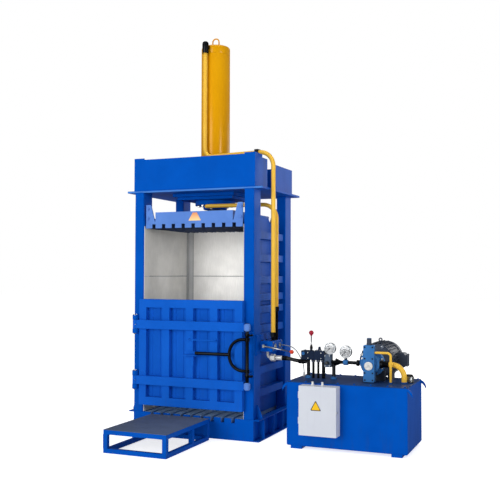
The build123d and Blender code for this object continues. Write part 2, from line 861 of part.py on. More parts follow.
# Hinge lugs on the left front column, above and below each bar
with BuildPart() as hinge_lugs:
    for level in hinge_bar_levels:
        upper_low = level + hinge_bar_height / 2 + lug_gap
        lower_low = level - hinge_bar_height / 2 - lug_gap - lug_height
        for low in (lower_low, upper_low):
            with BuildSketch(Plane.XY.offset(low)):
                with Locations((hinge_x, hinge_y)):
                    Circle(lug_radius)
                with Locations((hinge_x, (hinge_y - press_half_depth) / 2)):
                    Rectangle(2 * lug_radius, -hinge_y - press_half_depth)
                with Locations((hinge_x, hinge_y)):
                    Circle(hinge_pin_radius + slide_gap, mode=Mode.SUBTRACT)
            extrude(amount=lug_height)
hinge_lugs.part.label = "hinge_lugs"
export_step(hinge_lugs.part, "parts/hinge_lugs.step")

# Hinge pins
with BuildPart() as hinge_pins:
    for level in hinge_bar_levels:
        reach = hinge_bar_height / 2 + lug_gap + lug_height
        upright(hinge_x, hinge_y, (level - reach - pin_head, level + reach), hinge_pin_radius)
        upright(hinge_x, hinge_y, (level + reach, level + reach + pin_head), pin_head_radius)
hinge_pins.part.label = "hinge_pins"
export_step(hinge_pins.part, "parts/hinge_pins.step")

# Latch shaft with its two claws
with BuildPart() as latch_shaft:
    shaft_reach = latch_boss_height / 2 + latch_boss_cone + shaft_end_margin
    shaft_span = (hinge_bar_levels[0] - shaft_reach, hinge_bar_levels[1] + shaft_reach)
    upright(latch_x, latch_y, shaft_span, latch_shaft_radius)
    for level in claw_levels:
        with BuildSketch(Plane.XY.offset(level - claw_thickness / 2)):
            with Locations((latch_x, latch_y)):
                Circle(claw_hub_radius)
            with BuildLine(Plane.XY.move(Location((latch_x, latch_y, 0)))):
                outer_arc = CenterArc((0, 0), claw_outer, claw_start, claw_tip - claw_start)
                inner_arc = CenterArc((0, 0), claw_inner, claw_start, claw_tip - claw_start)
                Line(outer_arc @ 0, inner_arc @ 0)
                Line(outer_arc @ 1, inner_arc @ 1)
            make_face()
            with BuildLine(Plane.XY.move(Location((latch_x, latch_y, 0)))):
                arm_arc = CenterArc((0, 0), claw_inner + 2, claw_start, claw_arm_angle)
                Line((0, 0), arm_arc @ 0)
                Line((0, 0), arm_arc @ 1)
            make_face()
        extrude(amount=claw_thickness)
latch_shaft.part.label = "latch_shaft"
export_step(latch_shaft.part, "parts/latch_shaft.step")

# Latch handle: a D-shaped bow on two hubs and the long grip
with BuildPart() as latch_handle:
    bent_rod(
        (
            (latch_x - latch_shaft_radius - 3, latch_y, bow_levels[1]),
            (bow_left_x, latch_y, bow_levels[1]),
            (bow_left_x, latch_y, bow_levels[0]),
            (latch_x - latch_shaft_radius - 3, latch_y, bow_levels[0]),
        ),
        bow_round,
        bow_radius,
    )
    crossbar((handle_left_x, bow_left_x), latch_y, handle_level, handle_radius)
    for level in bow_levels:
        upright(latch_x, latch_y, (level - handle_radius, level + handle_radius), claw_hub_radius)
        upright(
            latch_x,
            latch_y,
            (level - 2 * handle_radius, level + 2 * handle_radius),
            latch_shaft_radius + slide_gap,
            mode=Mode.SUBTRACT,
        )
latch_handle.part.label = "latch_handle"
export_step(latch_handle.part, "parts/latch_handle.step")

# Keepers on the right front column: two ears and the pin that a claw hooks behind
with BuildPart() as latch_keepers:
    pin_y = latch_y + keeper_pin_offset
    for level in claw_levels:
        for side in (-1, 1):
            near = level + side * (claw_thickness / 2 + keeper_ear_gap)
            low = min(near, near + side * keeper_ear)
            with BuildSketch(Plane.XY.offset(low)):
                with BuildLine():
                    Polyline(
                        (latch_x - keeper_half_width, -press_half_depth),
                        (latch_x - keeper_nose_radius, pin_y),
                        (latch_x + keeper_nose_radius, pin_y),
                        (latch_x + keeper_half_width, -press_half_depth),
                        close=True,
                    )
                make_face()
                with Locations((latch_x, pin_y)):
                    Circle(keeper_nose_radius)
            extrude(amount=keeper_ear)
        reach = claw_thickness / 2 + keeper_ear_gap + keeper_ear
        upright(latch_x, pin_y, (level - reach, level + reach), keeper_pin_radius)
latch_keepers.part.label = "latch_keepers"
export_step(latch_keepers.part, "parts/latch_keepers.step")

# Yellow pipe from the cylinder's cap, down the barrel, over the head and down the right side
with BuildPart() as cap_side_pipe:
    bent_rod(
        (
            (riser_x, riser_y, elbow_low),
            (riser_x, riser_y, cross_level),
            (cap_drop[0], cap_drop[1], cross_level),
            (cap_drop[0], cap_drop[1], cap_pipe_foot),
        ),
        (riser_bend, cap_pipe_bend),
        cap_pipe_radius,
    )
cap_side_pipe.part.label = "cap_side_pipe"
export_step(cap_side_pipe.part, "parts/cap_side_pipe.step")

# Yellow pipe from the rod end of the cylinder and down the right side
with BuildPart() as rod_side_pipe:
    bent_rod(
        (
            (rod_cross_x, -gland_radius - seat_gap, rod_cross_level),
            (rod_cross_x, rod_cross_y, rod_cross_level),
            (rod_drop[0], rod_drop[1], rod_cross_level),
            (rod_drop[0], rod_drop[1], rod_pipe_foot),
        ),
        (rod_port_bend, rod_pipe_bend),
        rod_pipe_radius,
    )
rod_side_pipe.part.label = "rod_side_pipe"
export_step(rod_side_pipe.part, "parts/rod_side_pipe.step")

# Black fittings: cap elbow, unions above the side valve and the clamp on the head
with BuildPart() as pipe_fittings:
    upright(riser_x, riser_y, (elbow_low, elbow_top), elbow_radius)
    fillet(pipe_fittings.edges().sort_by(Axis.Z)[-1], radius=elbow_radius - 6)
    riser_distance = math.hypot(riser_x, riser_y)
    with BuildSketch(Plane(origin=(riser_x, riser_y, elbow_level), z_dir=(-riser_x, -riser_y, 0))):
        Circle(elbow_stub)
    extrude(amount=riser_distance - barrel_radius - seat_gap)
    for drop, foot, radius in ((cap_drop, cap_pipe_foot, cap_pipe_radius), (rod_drop, rod_pipe_foot, rod_pipe_radius)):
        upright(drop[0], drop[1], (valve_body_z[1], foot), radius - 3)
        with BuildSketch(Plane.XY.offset(foot - union_height)):
            with Locations(drop):
                RegularPolygon(radius + union_margin, 6)
        extrude(amount=union_height)
    pipe_run = (cap_drop[0] - riser_x, cap_drop[1] - riser_y, 0)
    clamp_y = riser_y + pipe_run[1] * (clamp_x - riser_x) / pipe_run[0]
    beam_gap = cross_level - head_top - inner_beam_heights[0]
    with BuildSketch(Plane(origin=(clamp_x, clamp_y, cross_level), x_dir=(0, 0, 1), z_dir=pipe_run)):
        with Locations(((cap_pipe_radius + clamp_wall - beam_gap) / 2, 0)):
            Rectangle(cap_pipe_radius + clamp_wall + beam_gap, 2 * (cap_pipe_radius + clamp_wall))
        Circle(cap_pipe_radius + slide_gap, mode=Mode.SUBTRACT)
    extrude(amount=clamp_width / 2, both=True)
pipe_fittings.part.label = "pipe_fittings"
export_step(pipe_fittings.part, "parts/pipe_fittings.step")

# Bracket plate on the right front column and wall ribs
with BuildPart() as side_valve_bracket:
    block(valve_plate_x, valve_plate_y, valve_plate_z)
    for level in (valve_plate_z[0] + 15, valve_plate_z[1] - 15):
        for place_y in (valve_plate_y[0] + 15, valve_plate_y[0] + 100):
            crossbar((valve_plate_x[1], valve_plate_x[1] + 7), place_y, level, 8)
side_valve_bracket.part.label = "side_valve_bracket"
export_step(side_valve_bracket.part, "parts/side_valve_bracket.step")

# Side valve body with its end plugs
with BuildPart() as side_valve_body:
    block(valve_body_x, valve_body_y, valve_body_z)
    chamfer(side_valve_body.edges().filter_by(Axis.Y), length=6)
    valve_middle = ((valve_body_x[0] + valve_body_x[1]) / 2, (valve_body_z[0] + valve_body_z[1]) / 2)
    pushbar(valve_middle[0], (valve_body_y[1], valve_body_y[1] + 22), valve_middle[1], 24)
    for place_x in (valve_middle[0] - 30, valve_middle[0] + 30):
        pushbar(place_x, (valve_body_y[1], valve_body_y[1] + 12), valve_middle[1] - 30, 10)
    pivot_x, pivot_y, pivot_z = side_pivot
    for low in (pivot_z - 24, pivot_z + 16):
        block((pivot_x - 14, pivot_x + 14), (pivot_y - 14, valve_body_y[0]), (low, low + 8))
    upright(pivot_x, pivot_y, (pivot_z - 24, pivot_z + 24), 6)
side_valve_body.part.label = "side_valve_body"
export_step(side_valve_body.part, "parts/side_valve_body.step")

# Side valve lever with its ball
with BuildPart() as side_valve_lever:
    upright(pivot_x, pivot_y, (pivot_z - 15.5, pivot_z + 15.5), side_hub_radius)
    reach_x = side_lever_tip[0] - pivot_x
    reach_z = side_lever_tip[2] - pivot_z
    with BuildSketch(Plane(origin=side_pivot, z_dir=(reach_x, 0, reach_z))):
        Circle(side_lever_radius)
    extrude(amount=math.hypot(reach_x, reach_z))
    with Locations(side_lever_tip):
        Sphere(knob_radius)
    upright(pivot_x, pivot_y, (pivot_z - 20, pivot_z + 20), 6 + slide_gap, mode=Mode.SUBTRACT)
side_valve_lever.part.label = "side_valve_lever"
export_step(side_valve_lever.part, "parts/side_valve_lever.step")

# Hose fitting below the side valve
with BuildPart() as hose_fitting:
    hose_x, hose_y, hose_z = hose_route[0]
    bent_rod(((hose_elbow_x, hose_y, valve_body_z[0]), (hose_elbow_x, hose_y, hose_z), (hose_x, hose_y, hose_z)), 30, 14)
    with BuildSketch(Plane(origin=(hose_elbow_x + 34, hose_y, hose_z), z_dir=(1, 0, 0))):
        RegularPolygon(hose_fitting_radius + 5, 6)
    extrude(amount=48)
    crossbar((hose_x - 62, hose_x), hose_y, hose_z, hose_fitting_radius)
hose_fitting.part.label = "hose_fitting"
export_step(hose_fitting.part, "parts/hose_fitting.step")

# Loading step: welded square-tube box
with BuildPart() as step_frame:
    step_body = step_height - step_sheet
    for wall, mode in ((0, Mode.ADD), (step_sheet, Mode.SUBTRACT)):
        for level in (0, step_body - step_tube):
            high = (level + wall, level + step_tube - wall)
            for near in (step_y[0], step_y[1] - step_tube):
                block((step_x[0] + wall, step_x[1] - wall), (near + wall, near + step_tube - wall), high, mode=mode)
            for near in (step_x[0], step_x[1] - step_tube):
                block((near + wall, near + step_tube - wall), (step_y[0] + wall, step_y[1] - wall), high, mode=mode)
        for leg_x in (step_x[0], step_x[1] - step_tube):
            for leg_y in (step_y[0], step_middle_y, step_y[1] - step_tube):
                leg_high = (step_tube - wall, step_body - step_tube + wall)
                block((leg_x + wall, leg_x + step_tube - wall), (leg_y + wall, leg_y + step_tube - wall), leg_high, mode=mode)
step_frame.part.label = "step_frame"
export_step(step_frame.part, "parts/step_frame.step")

# Step top sheet
with BuildPart() as step_top:
    block(step_x, step_y, (step_height - step_sheet, step_height))
step_top.part.label = "step_top"
export_step(step_top.part, "parts/step_top.step")

# Oil tank: welded shell on two skids, with rope hooks at the corners
with BuildPart() as tank_body:
    lid_under = tank_lid_top - tank_lid
    block(tank_x, tank_y, (tank_foot, lid_under))
    inner_x = (tank_x[0] + tank_wall, tank_x[1] - tank_wall)
    inner_y = (tank_y[0] + tank_wall, tank_y[1] - tank_wall)
    block(inner_x, inner_y, (tank_foot + tank_wall, lid_under), mode=Mode.SUBTRACT)
    for skid in (skid_left, skid_right):
        block(skid, tank_y, (0, tank_foot))
    for plane_y in (tank_y[0] + hook_thickness, tank_y[1]):
        for root_x, side in ((tank_x[0], -1), (tank_x[1], 1)):
            with BuildSketch(Plane.XZ.offset(-plane_y)):
                with BuildLine():
                    root = (root_x, lid_under)
                    tip = (root_x + side * hook_reach, lid_under - hook_drop)
                    heel = (root_x, lid_under - hook_root)
                    ThreePointArc(root, (root_x + side * 0.78 * hook_reach, lid_under - 0.36 * hook_drop), tip)
                    ThreePointArc(tip, (root_x + side * 0.6 * hook_reach, lid_under - 0.62 * hook_drop), heel)
                    Line(heel, root)
                make_face()
            extrude(amount=hook_thickness)
tank_body.part.label = "tank_body"
export_step(tank_body.part, "parts/tank_body.step")

# Tank lid with the filler neck and the sockets of the pump's pipes
with BuildPart() as tank_lid_plate:
    block(tank_x, tank_y, (lid_under, tank_lid_top))
    upright(filler_x, filler_y, (tank_lid_top, tank_lid_top + filler_neck_height), filler_neck_radius)
    neck_bore = filler_neck_radius - filler_neck_wall
    upright(filler_x, filler_y, (lid_under, tank_lid_top + filler_neck_height), neck_bore, mode=Mode.SUBTRACT)
    for socket_x, socket_y, radius in ((suction_drop_x, suction_y, suction_radius), (drain_drop_x, drain_y, drain_radius)):
        upright(socket_x, socket_y, (tank_lid_top, socket_top), radius + socket_wall)
        upright(socket_x, socket_y, (lid_under, socket_top), radius - 4, mode=Mode.SUBTRACT)
tank_lid_plate.part.label = "tank_lid"
export_step(tank_lid_plate.part, "parts/tank_lid.step")

# Filler and breather cap over the neck
with BuildPart() as filler_cap:
    cap_low = tank_lid_top + filler_cap_gap
    upright(filler_x, filler_y, (cap_low, cap_low + filler_cap_height), filler_cap_radius)
    chamfer(filler_cap.faces().sort_by(Axis.Z)[-1].edges(), length=7)
    neck_room = (cap_low, tank_lid_top + filler_neck_height + filler_cap_gap)
    upright(filler_x, filler_y, neck_room, filler_neck_radius + slide_gap, mode=Mode.SUBTRACT)
filler_cap.part.label = "filler_cap"
export_step(filler_cap.part, "parts/filler_cap.step")

# Electrical box body with hinge knuckles, their pins and the keeper for the lock
box_back = tank_y[0]
box_front = box_back - box_body_depth
box_door_back = box_front - box_door_gap
box_door_front = box_front - box_door_depth
box_axis_x = box_x[0] - box_hinge_offset
box_axis_y = (box_door_back + box_door_front) / 2
with BuildPart() as electrical_box:
    block(box_x, (box_front, box_back), box_z)
    block(
        (box_x[0] + box_wall, box_x[1] - box_wall),
        (box_front, box_back - box_wall),
        (box_z[0] + box_wall, box_z[1] - box_wall),
        mode=Mode.SUBTRACT,
    )
    for level in box_hinge_levels:
        upright(box_axis_x, box_axis_y, (level - box_knuckle_length, level), box_knuckle_radius)
        block((box_axis_x - 3, box_axis_x + 2), (box_axis_y, box_front + 18), (level - box_knuckle_length, level))
        block((box_axis_x - 3, box_x[0]), (box_front + 2, box_front + 18), (level - box_knuckle_length, level))
        upright(box_axis_x, box_axis_y, (level, level + box_knuckle_length), box_pin_radius)
    keeper_y = box_axis_y + lock_hook[0]
    block((box_x[1] - 26, box_x[1] - box_wall), (keeper_y - 6, keeper_y - 1), (lock_level - 20, lock_level - 7))
electrical_box.part.label = "electrical_box"
export_step(electrical_box.part, "parts/electrical_box.step")

# Electrical box door: a folded tray with its own knuckles
with BuildPart() as electrical_door:
    block(box_x, (box_door_front, box_door_back), box_z)
    block(
        (box_x[0] + box_wall, box_x[1] - box_wall),
        (box_door_front + box_wall, box_door_back),
        (box_z[0] + box_wall, box_z[1] - box_wall),
        mode=Mode.SUBTRACT,
    )
    for level in box_hinge_levels:
        knuckle = (level + box_knuckle_gap, level + box_knuckle_length)
        upright(box_axis_x, box_axis_y, knuckle, box_knuckle_radius)
        block((box_axis_x, box_x[0]), (box_axis_y - 3, box_axis_y + 3), knuckle)
        upright(box_axis_x, box_axis_y, knuckle, box_pin_radius + slide_gap, mode=Mode.SUBTRACT)
    crossbar((box_x[1] - box_wall, box_x[1]), box_axis_y, lock_level, lock_shaft + slide_gap, mode=Mode.SUBTRACT)
electrical_door.part.label = "electrical_door"
export_step(electrical_door.part, "parts/electrical_door.step")

# Quarter-turn lock in the door's right edge, its hook turned up and clear of the keeper
with BuildPart() as door_lock:
    lock_in = box_x[1] - 15
    crossbar((box_x[1] + seat_gap, box_x[1] + lock_reach), box_axis_y, lock_level, lock_radius)
    crossbar((lock_in, box_x[1] + seat_gap), box_axis_y, lock_level, lock_shaft)
    crossbar((lock_in, lock_in + 4), box_axis_y, lock_level, lock_shaft + 2)
    block((lock_in, lock_in + 4), (box_axis_y - 5, box_axis_y + 5), (lock_level, lock_level + lock_hook[1]))
    hook_low = lock_level + lock_hook[1] - 4
    block((lock_in, lock_in + 4), (box_axis_y - 5, box_axis_y + lock_hook[0]), (hook_low, lock_level + lock_hook[1]))
door_lock.part.label = "door_lock"
export_step(door_lock.part, "parts/door_lock.step")

# Cable glands on the electrical box and on the tank lid
with BuildPart() as cable_glands:
    gland_places = [(place_x, (box_front + box_back) / 2, box_z[1]) for place_x in gland_x]
    for place_x, place_y, foot in gland_places + [(cable_route[-1][0], cable_route[-1][1], tank_lid_top)]:
        with BuildSketch(Plane.XY.offset(foot)):
            with Locations((place_x, place_y)):
                RegularPolygon(gland_nut_radius + 2, 6)
        extrude(amount=gland_nut_height / 2)
        upright(place_x, place_y, (foot, foot + cable_gland_height), gland_nut_radius - 1)
cable_glands.part.label = "cable_glands"
export_step(cable_glands.part, "parts/cable_glands.step")

# Pipe posts under the valves, two of them on flanges, and the hose's union
with BuildPart() as valve_posts:
    for post_x, radius in valve_post_feet:
        upright(post_x, group_y, (tank_lid_top, control_valve_z[0]), radius)
    upright(support_post[0], group_y, (tank_lid_top, pipe_level - pressure_pipe_radius), support_post[1])
    for post_x in (valve_post_feet[0][0], support_post[0]):
        upright(post_x, group_y, (tank_lid_top, tank_lid_top + post_foot), post_foot_radius)
    union_z = hose_route[-1][2]
    crossbar((hose_end, hose_end + 24), group_y, union_z, hose_fitting_radius - 2)
    crossbar((hose_end + 24, valve_post_feet[0][0]), group_y, union_z, 13)
valve_posts.part.label = "valve_posts"
export_step(valve_posts.part, "parts/valve_posts.step")

# Hand-operated directional valve with lever ears, front plug and adjuster
with BuildPart() as directional_valve:
    valve_y = (group_y - control_valve_half_depth, group_y + control_valve_half_depth)
    block(control_valve_x, valve_y, control_valve_z)
    chamfer(directional_valve.edges().filter_by(Axis.X), length=6)
    pushbar(control_valve_x[0] + 25, (valve_y[0] - 7, valve_y[0]), control_valve_z[1] - 26, 14)
    for ear_y in (group_y - 12, group_y + 8):
        block((lever_x - 9, lever_x + 9), (ear_y, ear_y + 4), (control_valve_z[1], pivot_level + 9))
    pushbar(lever_x, (group_y - 12, group_y + 12), pivot_level, 4)
    with Locations((adjuster_x, group_y, control_valve_z[1] + adjuster_height / 2)):
        Cone(adjuster_radius, adjuster_radius * 0.6, adjuster_height)
directional_valve.part.label = "directional_valve"
export_step(directional_valve.part, "parts/directional_valve.step")

# Lever of the directional valve
with BuildPart() as valve_lever:
    pushbar(lever_x, (group_y - 7.7, group_y + 7.7), pivot_level, 8)
    upright(lever_x, group_y, (pivot_level, lever_ball_level), lever_radius)
    with Locations((lever_x, group_y, lever_ball_level)):
        Sphere(knob_radius + 3)
    pushbar(lever_x, (group_y - 10, group_y + 10), pivot_level, 4 + slide_gap, mode=Mode.SUBTRACT)
valve_lever.part.label = "valve_lever"
export_step(valve_lever.part, "parts/valve_lever.step")

# Relief valve block beside the directional valve
with BuildPart() as relief_valve:
    relief_y = (group_y - relief_half_depth, group_y + relief_half_depth)
    block(relief_x, relief_y, relief_z)
    chamfer(relief_valve.edges().filter_by(Axis.Z), length=5)
    pushbar(relief_knob_at[0], (relief_y[0], relief_y[0] + 30), relief_knob_at[1], 5 + slide_gap, mode=Mode.SUBTRACT)
relief_valve.part.label = "relief_valve"
export_step(relief_valve.part, "parts/relief_valve.step")

# Pressure knob of the relief valve
with BuildPart() as relief_knob:
    pushbar(relief_knob_at[0], (relief_y[0] - 34, relief_y[0] - seat_gap), relief_knob_at[1], 16)
    fillet(relief_knob.faces().sort_by(Axis.Y)[0].edges(), radius=4)
    for turn in range(8):
        angle = math.radians(45 * turn)
        groove = (relief_knob_at[0] + 17 * math.cos(angle), relief_knob_at[1] + 17 * math.sin(angle))
        pushbar(groove[0], (relief_y[0] - 34, relief_y[0] - 8), groove[1], 3, mode=Mode.SUBTRACT)
    pushbar(relief_knob_at[0], (relief_y[0] - 4, relief_y[0] + 28), relief_knob_at[1], 5)
relief_knob.part.label = "relief_knob"
export_step(relief_knob.part, "parts/relief_knob.step")

# Pressure pipe from the relief valve to the pump, with a gauge tee and a flange
with BuildPart() as pressure_pipe:
    pipe_end = pump_x - math.sqrt(pump_flange_radius**2 - (pump_level - pipe_level) ** 2) - seat_gap
    crossbar((relief_x[1], pipe_end), group_y, pipe_level, pressure_pipe_radius)
    tee_x = gauges_at[1][0]
    crossbar((tee_x - 22, tee_x + 22), group_y, pipe_level, pressure_pipe_radius + 7)
    upright(tee_x, group_y, (pipe_level, gauges_at[1][1] - gauges_at[1][2] - 12), 13)
    crossbar(pressure_flange, group_y, pipe_level, pressure_pipe_radius + 12)
    with Locations(((pressure_cone[0] + pressure_cone[1]) / 2, group_y, pipe_level)):
        cone_length = pressure_cone[1] - pressure_cone[0]
        Cone(pressure_cone_radius, pressure_pipe_radius, cone_length, rotation=(0, 90, 0))
pressure_pipe.part.label = "pressure_pipe"
export_step(pressure_pipe.part, "parts/pressure_pipe.step")

# Two pressure gauges: turned cases with a recessed dial and a stem
with BuildPart() as gauges:
    feet = (relief_z[1], gauges_at[1][1] - gauges_at[1][2] - 12)
    for (dial_x, dial_z, dial_radius), foot in zip(gauges_at, feet):
        front = group_y - gauge_depth / 2
        pushbar(dial_x, (front, front + gauge_depth), dial_z, dial_radius)
        upright(dial_x, group_y, (foot, dial_z), gauge_stem)
        pushbar(dial_x, (front, front + gauge_recess), dial_z, dial_radius - gauge_bezel, mode=Mode.SUBTRACT)
        pushbar(dial_x, (front + gauge_recess, front + gauge_recess + 6), dial_z, 1.5 + slide_gap, mode=Mode.SUBTRACT)
gauges.part.label = "gauges"
export_step(gauges.part, "parts/gauges.step")


def gauge_needle(dial_x, dial_z, dial_radius):
    """A tapered needle at the low end of its scale, on a hub and a thin shaft."""
    dial_front = group_y - gauge_depth / 2 + gauge_recess
    needle_back = dial_front - needle_gap
    with BuildPart() as needle:
        with BuildSketch(Plane(origin=(dial_x, needle_back, dial_z), x_dir=(1, 0, 0), z_dir=(0, -1, 0))):
            Circle(needle_hub)
            with BuildLine():
                length = dial_radius - gauge_bezel - 6
                Polyline((-2, 2), (2, -2), (-0.71 * length, -0.71 * length), close=True)
            make_face()
        extrude(amount=needle_thickness)
        pushbar(dial_x, (needle_back - 1, dial_front + 5), dial_z, 1.5)
    return needle


gauge_needle_1 = gauge_needle(*gauges_at[0])
gauge_needle_1.part.label = "gauge_needle_1"
export_step(gauge_needle_1.part, "parts/gauge_needle_1.step")
gauge_needle_2 = gauge_needle(*gauges_at[1])
gauge_needle_2.part.label = "gauge_needle_2"
export_step(gauge_needle_2.part, "parts/gauge_needle_2.step")

# Hydraulic pump
with BuildPart() as pump_body:
    pushbar(pump_x, pump_y, pump_level, pump_radius)
    chamfer(pump_body.faces().sort_by(Axis.Y)[0].edges(), length=8)
    pushbar(pump_x, pump_flange_y, pump_level, pump_flange_radius)
    pushbar(pump_x, (pump_y[0] + 20, pump_y[1]), pump_level, shaft_radius + slide_gap, mode=Mode.SUBTRACT)
pump_body.part.label = "pump_body"
export_step(pump_body.part, "parts/pump_body.step")

# Pump control block with its plug and round cover
with BuildPart() as pump_control:
    with BuildSketch(Plane.XZ.offset(-control_y[1])):
        with Locations((pump_x, (control_z[0] + control_z[1]) / 2)):
            RectangleRounded(2 * control_half_width, control_z[1] - control_z[0], control_round)
    extrude(amount=control_y[1] - control_y[0])
    upright(pump_x, (control_y[0] + control_y[1]) / 2, (control_z[1], control_z[1] + plug_height), plug_radius)
    pushbar(pump_x, (control_y[0] - 5, control_y[0]), pump_level - 11, 33)
pump_control.part.label = "pump_control"
export_step(pump_control.part, "parts/pump_control.step")

# Bell housing between the pump and the motor, on its foot
with BuildPart() as bell_housing:
    with BuildSketch(Plane.YZ.offset(pump_x)):
        with BuildLine():
            Polyline(
                (bell_y[0], pump_level + bell_bore),
                (bell_y[0], pump_level + bell_small),
                (bell_y[0] + 14, pump_level + bell_small),
                (bell_y[1] - 18, pump_level + bell_large - 14),
                (bell_y[1] - 18, pump_level + bell_large),
                (bell_y[1], pump_level + bell_large),
                (bell_y[1], pump_level + bell_bore + 20),
                close=True,
            )
        make_face()
    revolve(axis=Axis((pump_x, 0, pump_level), (0, 1, 0)))
    block((pump_x - bell_foot[0], pump_x + bell_foot[0]), bell_foot[1:3], (tank_lid_top, bell_foot[3]))
bell_housing.part.label = "bell_housing"
export_step(bell_housing.part, "parts/bell_housing.step")

# Electric motor: finned hollow housing, feet, terminal box and lifting eye
with BuildPart() as motor_body:
    pushbar(pump_x, motor_y, pump_level, motor_radius)
    fin_y = (motor_y[0] + 24, motor_y[1] - 12)
    for turn in range(fin_count):
        angle = 360 / fin_count * turn
        if abs(angle - 180) < fin_free_angle:
            continue
        with Locations(Location((pump_x, (fin_y[0] + fin_y[1]) / 2, pump_level), (0, angle, 0))):
            with Locations((0, 0, (motor_radius + fin_radius) / 2 - 3)):
                Box(fin_thickness, fin_y[1] - fin_y[0], fin_radius - motor_radius + 6)
    for side in (-1, 1):
        foot_middle = pump_x + side * motor_foot_x
        span = (foot_middle - motor_foot_width / 2, foot_middle + motor_foot_width / 2)
        block(span, motor_foot_y, (tank_lid_top, pump_level - 70))
    with BuildSketch(Plane.XZ.offset(-terminal_y[1])):
        with BuildLine():
            Polyline(
                (terminal_x[0], terminal_z[0]),
                (terminal_x[1] - terminal_chamfer, terminal_z[0]),
                (terminal_x[1], terminal_z[0] + terminal_chamfer),
                (terminal_x[1], terminal_z[1] - terminal_chamfer),
                (terminal_x[1] - terminal_chamfer, terminal_z[1]),
                (terminal_x[0], terminal_z[1]),
                close=True,
            )
        make_face()
    extrude(amount=terminal_y[1] - terminal_y[0])
    pushbar(pump_x, (motor_y[0] + 14, motor_y[1] - 14), pump_level, rotor_room, mode=Mode.SUBTRACT)
    pushbar(pump_x, motor_y, pump_level, shaft_radius + slide_gap, mode=Mode.SUBTRACT)
    eye_level = pump_level + fin_radius + motor_eye_radius - 3
    with Locations(Location((pump_x, motor_eye_y, eye_level), (90, 0, 0))):
        Torus(motor_eye_radius - motor_eye_rod, motor_eye_rod)
    upright(pump_x, motor_eye_y, (pump_level + motor_radius - 5, pump_level + fin_radius + 3), 14)
motor_body.part.label = "motor_body"
export_step(motor_body.part, "parts/motor_body.step")

# Fan cowl with a slotted rear face
with BuildPart() as fan_cowl:
    pushbar(pump_x, (motor_y[1], cowl_back), pump_level, cowl_radius)
    fillet(fan_cowl.faces().sort_by(Axis.Y)[-1].edges(), radius=14)
    pushbar(pump_x, (motor_y[1], cowl_back - cowl_wall), pump_level, cowl_inside, mode=Mode.SUBTRACT)
    with BuildSketch(Plane(origin=(pump_x, cowl_back, pump_level), x_dir=(1, 0, 0), z_dir=(0, 1, 0))):
        with PolarLocations(0.6 * cowl_radius, cowl_slot_count):
            SlotOverall(0.5 * cowl_radius, 12)
    extrude(amount=-2 * cowl_wall, mode=Mode.SUBTRACT)
fan_cowl.part.label = "fan_cowl"
export_step(fan_cowl.part, "parts/fan_cowl.step")

# Motor rotor, shaft, coupling and fan
with BuildPart() as motor_rotor:
    pushbar(pump_x, (pump_y[0] + 24, cowl_back - 20), pump_level, shaft_radius)
    pushbar(pump_x, (motor_y[0] + 60, motor_y[1] - 60), pump_level, rotor_room - 12)
    pushbar(pump_x, (bell_y[0] + 30, bell_y[1] - 10), pump_level, bell_bore - 14)
    fan_y = (motor_y[1] + 14, cowl_back - 22)
    pushbar(pump_x, fan_y, pump_level, shaft_radius + 16)
    pushbar(pump_x, (fan_y[0], fan_y[0] + 4), pump_level, fan_radius)
    for turn in range(fan_blades):
        with Locations(Location((pump_x, (fan_y[0] + fan_y[1]) / 2, pump_level), (0, 360 / fan_blades * turn, 0))):
            with Locations((0, 0, (fan_radius + shaft_radius) / 2)):
                Box(4, fan_y[1] - fan_y[0], fan_radius - shaft_radius)
motor_rotor.part.label = "motor_rotor"
export_step(motor_rotor.part, "parts/motor_rotor.step")

# Suction pipe and drain pipe of the pump, down to their sockets on the lid
with BuildPart() as pump_pipes:
    bent_rod(
        (
            (pump_x + pump_radius + seat_gap, suction_y, pump_level),
            (suction_drop_x, suction_y, pump_level),
            (suction_drop_x, suction_y, socket_top),
        ),
        suction_bend,
        suction_radius,
    )
    crossbar((pump_x + pump_radius + seat_gap, pump_x + pump_radius + 22), suction_y, pump_level, suction_radius + 9)
    bent_rod(
        (
            (pump_x + control_half_width, drain_y, drain_level),
            (drain_drop_x, drain_y, drain_level),
            (drain_drop_x, drain_y, socket_top),
        ),
        drain_bend,
        drain_radius,
    )
pump_pipes.part.label = "pump_pipes"
export_step(pump_pipes.part, "parts/pump_pipes.step")

# Hose from the side valve to the power unit
with BuildPart() as press_hose:
    bent_rod(hose_route, cord_bends(hose_route), hose_radius)
press_hose.part.label = "press_hose"
export_step(press_hose.part, "parts/press_hose.step")

# Control cable from the side valve to the tank lid
with BuildPart() as control_cable:
    bent_rod(cable_route, cord_bends(cable_route), cable_radius)
control_cable.part.label = "control_cable"
export_step(control_cable.part, "parts/control_cable.step")

print("hose bends", [round(bend) for bend in cord_bends(hose_route)])
print("cable bends", [round(bend) for bend in cord_bends(cable_route)])
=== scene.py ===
"""Looks of the recycling baler: finishes, signs, dials, welds, hose and cable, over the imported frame."""
import json
import math
import bpy
import numpy as np
from mathutils import Matrix, Vector


